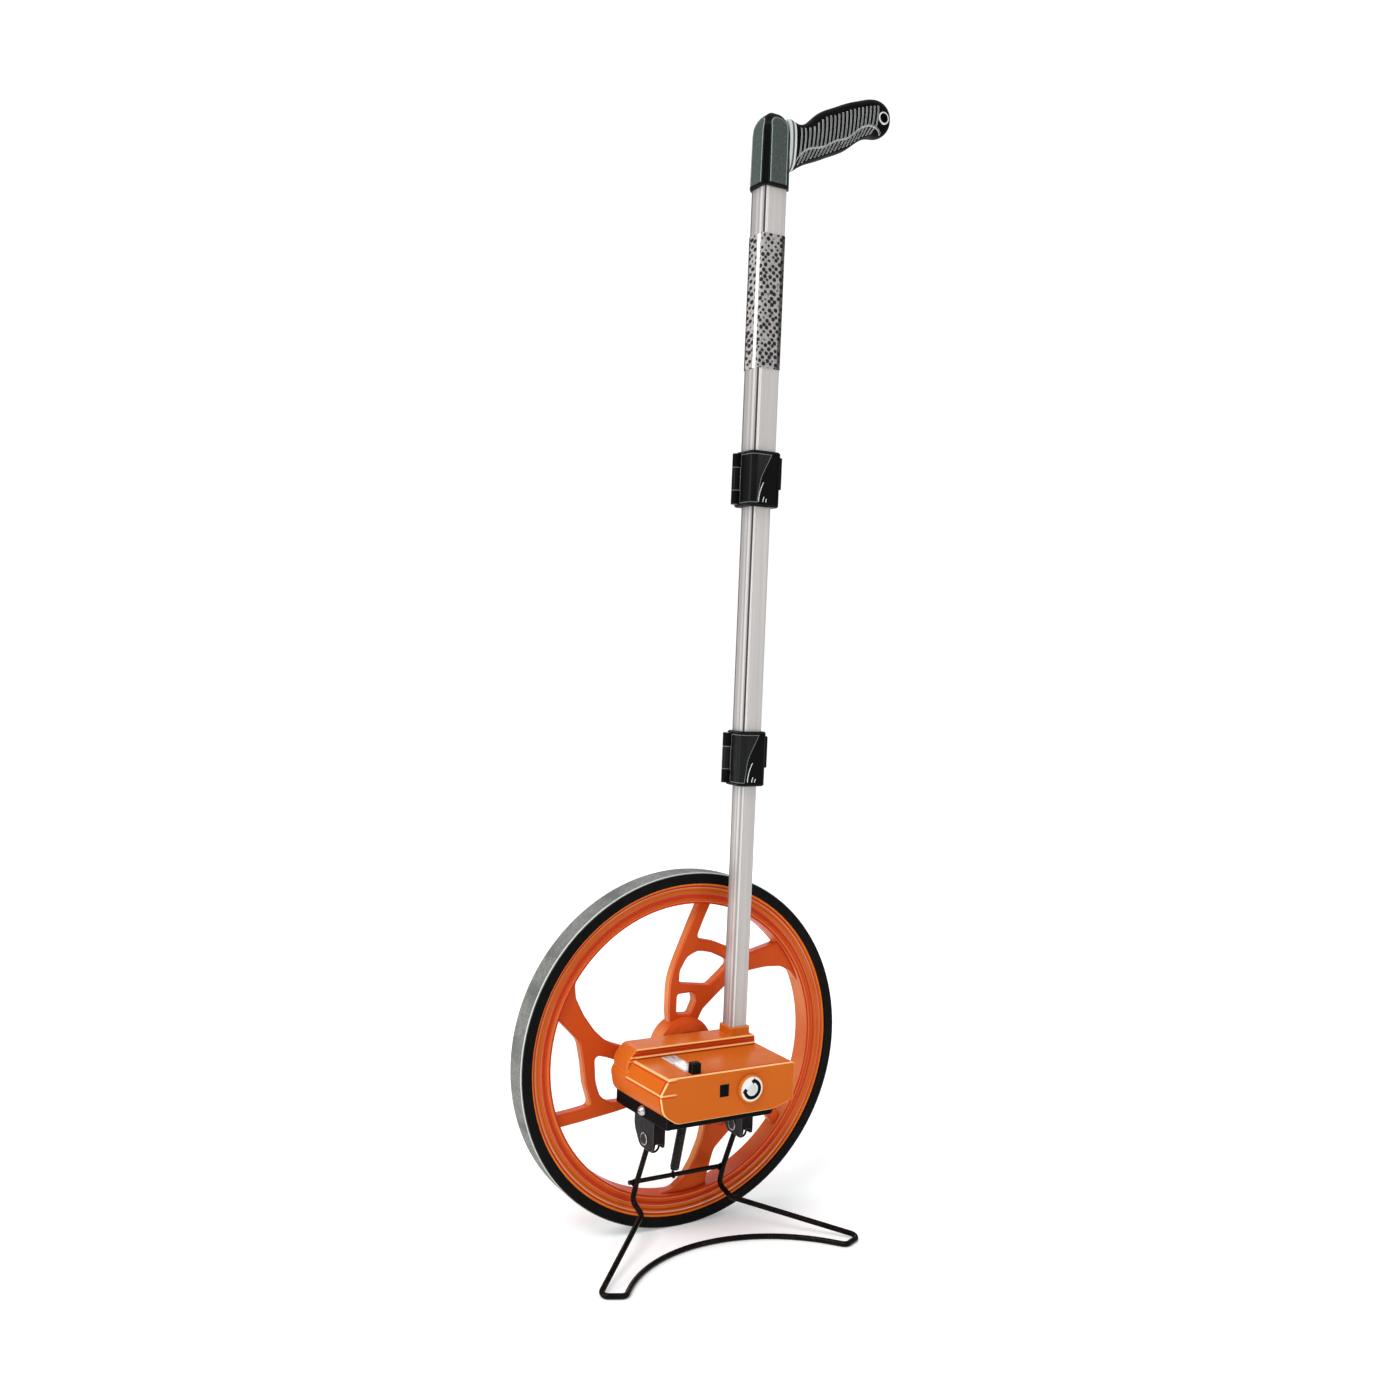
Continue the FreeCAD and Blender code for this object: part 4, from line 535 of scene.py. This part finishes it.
def make_materials():
    """One material for each slot of the record, and some for single nodes and finer pieces."""
    made = {"orange_plastic": orange_finish(), "tyre_rubber": tyre_finish()}
    black = (0.0035, 0.0035, 0.0038)
    soot = (0.0015, 0.0015, 0.0015)
    # Black plastic, with faint painted highlights along its edges.
    made["black_plastic"] = moulded(
        "black_plastic", black, (0.05, 0.055, 0.053), soot, 0.34, 0.6, shine=0.03)
    # The levers' glossier copy of the black plastic, with strong painted highlights along its
    # edges.
    made["lever_plastic"] = moulded(
        "lever_plastic", (0.0045, 0.0045, 0.0045), (0.34, 0.37, 0.36), soot, 0.26, 0.95, shine=0.1)
    # Pale plastic for the clamp ribs, coloured as a painted highlight.
    made["rib_highlight_plastic"] = moulded(
        "rib_highlight_plastic", (0.72, 0.74, 0.73), (0.85, 0.87, 0.86), (0.30, 0.30, 0.30), 0.4)
    made["grey_plastic"] = panel_finish()
    made["core_plastic"] = core_finish()
    made["eyelet_plastic"] = eyelet_finish()
    made["white_plastic"] = moulded(
        "white_plastic", (0.86, 0.86, 0.84), (0.95, 0.95, 0.95), (0.76, 0.75, 0.71), 0.38)
    made["gear_plastic"] = moulded(
        "gear_plastic", (0.66, 0.63, 0.54), (0.85, 0.83, 0.76), (0.52, 0.49, 0.40), 0.42)
    made["guide_plastic"] = moulded(
        "guide_plastic", (0.015, 0.015, 0.016), (0.07, 0.07, 0.07), soot, 0.4)

    grip = Finish("grip_rubber", (0.0020, 0.0020, 0.0020), 0.5, Specular_IOR_Level=0.03)
    grip.tint(grip.ramp(grip.noise(70, 4), 0.5, 0.75), (0.006, 0.006, 0.006), 0.6)
    # Painted highlight: near-white along the rubber's edges.
    grip.tint(grip.edges(0.5 * MM), (0.95, 0.97, 0.95))
    grip.rough(grip.noise(90, 4), 0.3, 0.5)
    grip.bump(grip.noise(1300, 3), 1.2e-5)
    made["grip_rubber"] = grip

    made["grip_tape"] = tape_finish()
    for section in ("lower", "middle", "upper"):
        made[section + "_tube"] = tube_finish(section)

    steel = Finish("steel", (0.56, 0.57, 0.57), 0.3, Metallic=0.85)
    steel.tint(steel.ramp(steel.noise(160, 4), 0.5, 0.75), (0.40, 0.40, 0.39), 0.5)
    steel.rough(steel.noise(220, 4), 0.22, 0.44)
    steel.bump(steel.noise(900, 3), 4e-6)
    made["steel"] = steel

    coat = Finish("stand_steel", (0.0030, 0.0022, 0.0020), 0.24, Specular_IOR_Level=0.07)
    coat.tint(coat.ramp(coat.noise(75, 4), 0.42, 0.72), (0.022, 0.009, 0.006), 0.55)
    coat.tint(coat.ramp(coat.noise(240, 3), 0.6, 0.72), (0.06, 0.05, 0.045), 0.25)
    # Painted highlight along the coat's edges.
    coat.tint(coat.edges(0.6 * MM), (0.22, 0.21, 0.20), 0.7)
    coat.rough(coat.noise(160, 4), 0.16, 0.36)
    coat.bump(coat.noise(420, 3), 2.5e-5)
    made["stand_steel"] = coat

    # Painted glare: the lens is only partly clear and has a near-white colour, broken up by darker
    # streaks.
    lens = Finish("clear_window", (0.96, 0.96, 0.95), 0.1, Transmission_Weight=0.45, IOR=1.46)
    lens.tint(lens.ramp(lens.noise(330, 2, (1, 0.4, 1)), 0.57, 0.62), (0.30, 0.28, 0.26), 0.75)
    lens.rough(lens.noise(150, 3), 0.06, 0.16)
    lens.bump(lens.noise(90, 2), 1e-5)
    made["clear_window"] = lens
    return {slot: finish.material for slot, finish in made.items()}


MATERIALS = make_materials()


SPECIAL_FINISHES = {
    "lower_clamp_lever": "lever_plastic", "upper_clamp_lever": "lever_plastic",
    "lower_tube": "lower_tube", "middle_tube": "middle_tube", "upper_tube": "upper_tube",
    "lanyard_eyelet": "eyelet_plastic",
}


def finish_cad_nodes():
    """Give every carried-over CAD node its own finish, or the one of its slot in the record."""
    for name, node in NODES.items():
        for slot in node.material_slots:
            plain = slot.material.name.split(".")[0]
            slot.material = MATERIALS[SPECIAL_FINISHES.get(name, plain)]


finish_cad_nodes()


# ---- finer pieces -------------------------------------------------------------------------------
def place(x, y, z):
    """A point given in millimetres."""
    return Vector((x, y, z)) * MM


def add_piece(name, corners, faces, slot, body=None, smooth=True):
    """A mesh piece with its material, riding on a body if one is given."""
    mesh = bpy.data.meshes.new(name)
    mesh.from_pydata(corners, [], faces)
    mesh.materials.append(MATERIALS[slot])
    if smooth:
        mesh.shade_smooth()
    else:
        mesh.shade_flat()
    piece = bpy.data.objects.new(name, mesh)
    bpy.context.scene.collection.objects.link(piece)
    if body:
        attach(piece, body)
    return piece


def sweep(path, radius, sides, lumps=0.0):
    """Corners and faces of a round wire along a path, closed at both ends."""
    corners = []
    faces = []
    tangent = (path[1] - path[0]).normalized()
    across = tangent.orthogonal().normalized()
    for index, point in enumerate(path):
        ahead = path[min(index + 1, len(path) - 1)] - path[max(index - 1, 0)]
        ahead.normalize()
        across = (across - ahead * across.dot(ahead)).normalized()
        beside = ahead.cross(across)
        for step in range(sides):
            angle = 2 * math.pi * step / sides
            size = radius * (1 + lumps * math.sin(index * 1.7 + step * 2.3))
            corners.append(point + (across * math.cos(angle) + beside * math.sin(angle)) * size)
    for ring in range(len(path) - 1):
        for step in range(sides):
            after = (step + 1) % sides
            here = ring * sides
            faces.append((here + step, here + after, here + sides + after, here + sides + step))
    faces.append(tuple(reversed(range(sides))))
    last = (len(path) - 1) * sides
    faces.append(tuple(range(last, last + sides)))
    return corners, faces


def ring_path(centre, first, second, radius, start, end, steps):
    """Points round a circle in the plane of two unit vectors, from one angle to another."""
    points = []
    for step in range(steps + 1):
        angle = math.radians(start + (end - start) * step / steps)
        points.append(centre + (first * math.cos(angle) + second * math.sin(angle)) * radius)
    return points


def plate(outline, y_back, y_front):
    """Corners and faces of a flat plate across Y, from (x, z) corners in order."""
    count = len(outline)
    corners = [place(x, y_back, z) for x, z in outline]
    corners += [place(x, y_front, z) for x, z in outline]
    faces = [tuple(range(count)), tuple(reversed(range(count, 2 * count)))]
    for index in range(count):
        after = (index + 1) % count
        faces.append((index, count + index, count + after, after))
    return corners, faces


# The stand's spring, from its eye plate under the base down to the crossbar.
PIVOT_LOW, PIVOT_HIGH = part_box("stand_pivot_pins")
BAR_LOW, BAR_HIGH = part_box("stand_crossbar")
BAR_CENTRE = (BAR_LOW + BAR_HIGH) / 2
ANCHOR_LOW, ANCHOR_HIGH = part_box("spring_anchor")
COIL_RADIUS = 3.5 * MM
COIL_WIRE = 0.72 * MM
COIL_TURNS = 44
COIL_STEPS_A_TURN = 14
TOP_EYE_RADIUS = 2.4 * MM
LOW_EYE_RADIUS = 2.75 * MM
COIL_BELOW_TOP = 6.5 * MM
COIL_ABOVE_LOW = 7.0 * MM


def make_spring():
    """An eye at each end and a coil between; on the real stand the spring stretches as the stand
    folds.
    """
    side = Vector((1, 0, 0))
    middle_x = (ANCHOR_LOW.x + ANCHOR_HIGH.x) / 2
    top = Vector((middle_x, (ANCHOR_LOW.y + ANCHOR_HIGH.y) / 2, ANCHOR_LOW.z + 4.5 * MM))
    low = Vector((middle_x, BAR_CENTRE.y, BAR_CENTRE.z))
    down = (low - top).normalized()
    behind = down.cross(side)
    path = ring_path(top + down * TOP_EYE_RADIUS, down, side, TOP_EYE_RADIUS, 35, 325, 20)
    coil_start = top + down * COIL_BELOW_TOP
    coil_length = (low - top).length - COIL_BELOW_TOP - COIL_ABOVE_LOW
    steps = COIL_TURNS * COIL_STEPS_A_TURN
    for step in range(steps + 1):
        angle = math.pi + 2 * math.pi * COIL_TURNS * step / steps
        round_axis = side * math.cos(angle) + behind * math.sin(angle)
        path.append(coil_start + down * (coil_length * step / steps) + round_axis * COIL_RADIUS)
    path += ring_path(low, -down, behind, LOW_EYE_RADIUS, 20, 335, 20)
    corners, faces = sweep(path, COIL_WIRE, 7)
    spring = add_piece("spring_coil", corners, faces, "stand_steel")
    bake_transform(spring)
    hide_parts("stand_spring")


WELDS = (("left", -51.9 * MM), ("right", 35.4 * MM))
WELD_RADIUS = 2.6 * MM
WELD_FORWARD = 1.6 * MM


def make_weld_beads():
    """Lumpy weld beads where the crossbar meets both legs."""
    for name, x in WELDS:
        centre = Vector((x, BAR_CENTRE.y - WELD_FORWARD, BAR_CENTRE.z))
        path = ring_path(centre, Vector((0, 0, 1)), Vector((1, 0, 0)), WELD_RADIUS, 0, 360, 26)
        corners, faces = sweep(path, 0.9 * MM, 9, lumps=0.16)
        add_piece("weld_" + name, corners, faces, "stand_steel", "stand")


PIVOT_SPACING = 88 * MM
PIVOT_HEAD = 1.1 * MM
PIVOT_RING_RADIUS = 5.0 * MM
HOOK_OFFSET = Vector((8.0, -4.0, -6.6)) * MM
HOOK_RADIUS = 4.6 * MM


def make_bracket_details():
    """A pressed ring round each pivot pin's head, and a hook under each short ear."""
    ahead = Vector((0, 1, 0))
    up = Vector((0, 0, 1))
    pivot_middle = (PIVOT_LOW + PIVOT_HIGH) / 2
    for name, x in (("left", PIVOT_LOW.x), ("right", PIVOT_LOW.x + PIVOT_SPACING)):
        centre = Vector((x + PIVOT_HEAD, pivot_middle.y, pivot_middle.z))
        path = ring_path(centre, ahead, up, PIVOT_RING_RADIUS, 0, 360, 40)
        corners, faces = sweep(path, 0.6 * MM, 10)
        add_piece("pivot_ring_" + name, corners, faces, "steel", "chassis")
        path = ring_path(centre + HOOK_OFFSET, Vector((1, 0, 0)), up, HOOK_RADIUS, 165, 375, 30)
        corners, faces = sweep(path, 1.0 * MM, 10)
        add_piece("ear_hook_" + name, corners, faces, "stand_steel", "chassis")


# Digits printed round the five number wheels.
DIGIT_SIZE = 8.1 * MM
DIGIT_SUNK = 0.22 * MM
DEGREES_A_DIGIT = 36


def digit_outline(text):
    """The flat mesh of one character in the built-in font, centred on its own middle."""
    curve = bpy.data.curves.new("digit", "FONT")
    curve.body = text
    curve.align_x = "CENTER"
    curve.align_y = "CENTER"
    curve.size = DIGIT_SIZE
    curve.resolution_u = 4
    holder = bpy.data.objects.new("digit", curve)
    bpy.context.scene.collection.objects.link(holder)
    bpy.context.view_layer.update()
    mesh = bpy.data.meshes.new_from_object(holder)
    points = [vertex.co.copy() for vertex in mesh.vertices]
    faces = [tuple(polygon.vertices) for polygon in mesh.polygons]
    bpy.data.objects.remove(holder)
    bpy.data.meshes.remove(mesh)
    middle_y = (max(p.y for p in points) + min(p.y for p in points)) / 2
    middle_x = (max(p.x for p in points) + min(p.x for p in points)) / 2
    return [(p.x - middle_x, p.y - middle_y) for p in points], faces


def make_digits():
    """The digits 0 to 9 round each number wheel."""
    shapes = [digit_outline(str(digit)) for digit in range(10)]
    for index, order in enumerate(("first", "second", "third", "fourth", "fifth")):
        low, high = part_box("number_wheel_" + str(index + 1))
        middle = (low + high) / 2
        radius = (high.z - low.z) / 2 - DIGIT_SUNK
        corners = []
        faces = []
        for digit, (points, polygons) in enumerate(shapes):
            first = len(corners)
            for across, up in points:
                angle = up / radius - math.radians(DEGREES_A_DIGIT * digit)
                x = middle.x - radius * math.sin(angle)
                z = middle.z + radius * math.cos(angle)
                corners.append(Vector((x, middle.y + across, z)))
            faces += [tuple(first + corner for corner in polygon) for polygon in polygons]
        add_piece("digits_" + order, corners, faces, "black_plastic", order + "_counter")


# The reset knob's printed arrow and raised middle.
KNOB_LOW, KNOB_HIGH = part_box("knob_face")
KNOB_X = (KNOB_LOW.x + KNOB_HIGH.x) / 2 / MM
KNOB_Z = (KNOB_LOW.z + KNOB_HIGH.z) / 2 / MM
KNOB_FRONT_Y = KNOB_LOW.y / MM


# The arrow's clock angles, and its inner, middle and outer radii in millimetres.
ARROW_START = 16
ARROW_END = 258
ARROW_RADII = (5.6, 7.1, 8.6)
# The domed middle's rings: radius and how far behind the knob's face, in millimetres.
DOME_RINGS = ((4.2, 0.1), (4.1, -0.3), (3.4, -0.55), (1.8, -0.7), (0.2, -0.75))
DOME_SIDES = 32


def clock(radius, degrees):
    """A point on the knob's face, by clock angle from the top."""
    angle = math.radians(degrees)
    return KNOB_X + radius * math.sin(angle), KNOB_Z + radius * math.cos(angle)


def make_knob_arrow():
    """A flat ring arrow with a head at each end, round a domed middle."""
    start, end = ARROW_START, ARROW_END
    inner, middle, outer = ARROW_RADII
    steps = 40
    outline = [clock(outer, start + (end - start) * step / steps) for step in range(steps + 1)]
    outline += [clock(outer + 1.3, end), clock(middle, end + 24), clock(inner - 1.5, end)]
    outline += [clock(inner, end - (end - start) * step / steps) for step in range(steps + 1)]
    outline += [clock(inner - 1.5, start), clock(middle, start - 24), clock(outer + 1.3, start)]
    corners, faces = plate(outline, KNOB_FRONT_Y + 0.1, KNOB_FRONT_Y - 0.25)
    add_piece("knob_arrow", corners, faces, "black_plastic", "knob", smooth=False)
    corners = []
    faces = []
    sides = DOME_SIDES
    for radius, behind in DOME_RINGS:
        for step in range(sides):
            x, z = clock(radius, 360 * step / sides)
            corners.append(place(x, KNOB_FRONT_Y + behind, z))
    last = (len(DOME_RINGS) - 1) * sides
    for here in range(0, last, sides):
        for step in range(sides):
            after = (step + 1) % sides
            faces.append((here + step, here + sides + step, here + sides + after, here + after))
    faces.append(tuple(range(last, last + sides)))
    add_piece("knob_middle", corners, faces, "core_plastic", "knob")


# The clamps' ribs: how far each stands from the lever's hinge end, and its height.
CLAMP_RIBS = ((13.6 * MM, 17.0 * MM), (18.0 * MM, 4.5 * MM), (21.0 * MM, 3.0 * MM))
RIB_FOOT = 3.6 * MM
RIB_SUNK = 0.1 * MM
RIB_LEAN = 0.26
RIB_STEPS = 8


def make_clamp_ribs():
    """One long rib and two short ones low on each clamp collar, beside the lever's end, coloured
    pale as a painted highlight.
    """
    for level, body in (("lower", "middle_section"), ("upper", "upper_section")):
        collar_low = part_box(level + "_clamp_collar")[0]
        lever_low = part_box(level + "_clamp_lever")[0]
        for index, (offset, height) in enumerate(CLAMP_RIBS):
            foot = Vector((lever_low.x + offset, collar_low.y, collar_low.z + RIB_FOOT))
            path = []
            for step in range(RIB_STEPS + 1):
                share = step / RIB_STEPS
                lean = RIB_LEAN * share * share * height
                path.append(foot + Vector((lean, RIB_SUNK, height * share)))
            corners, faces = sweep(path, 0.42 * MM, 8)
            add_piece(level + "_rib_" + str(index + 1), corners, faces, "rib_highlight_plastic", body)


make_spring()
make_weld_beads()
make_bracket_details()
make_digits()
make_knob_arrow()
make_clamp_ribs()


# ---- floor --------------------------------------------------------------------------------------
def make_floor():
    """A large pale floor. It glows a little, so that it stays white to its far edge."""
    side = 30.0
    corners = [(-side, -side, 0), (side, -side, 0), (side, side, 0), (-side, side, 0)]
    mesh = bpy.data.meshes.new("floor")
    mesh.from_pydata(corners, [], [(0, 1, 2, 3)])
    floor = bpy.data.objects.new("floor", mesh)
    bpy.context.scene.collection.objects.link(floor)
    white = (1, 1, 1, 1)
    finish = Finish("floor", (0.93, 0.93, 0.93), 0.9, Emission_Color=white, Emission_Strength=0.22)
    finish.tint(finish.ramp(finish.noise(0.8, 3), 0.4, 0.7), (0.90, 0.90, 0.90), 0.6)
    mesh.materials.append(finish.material)


make_floor()
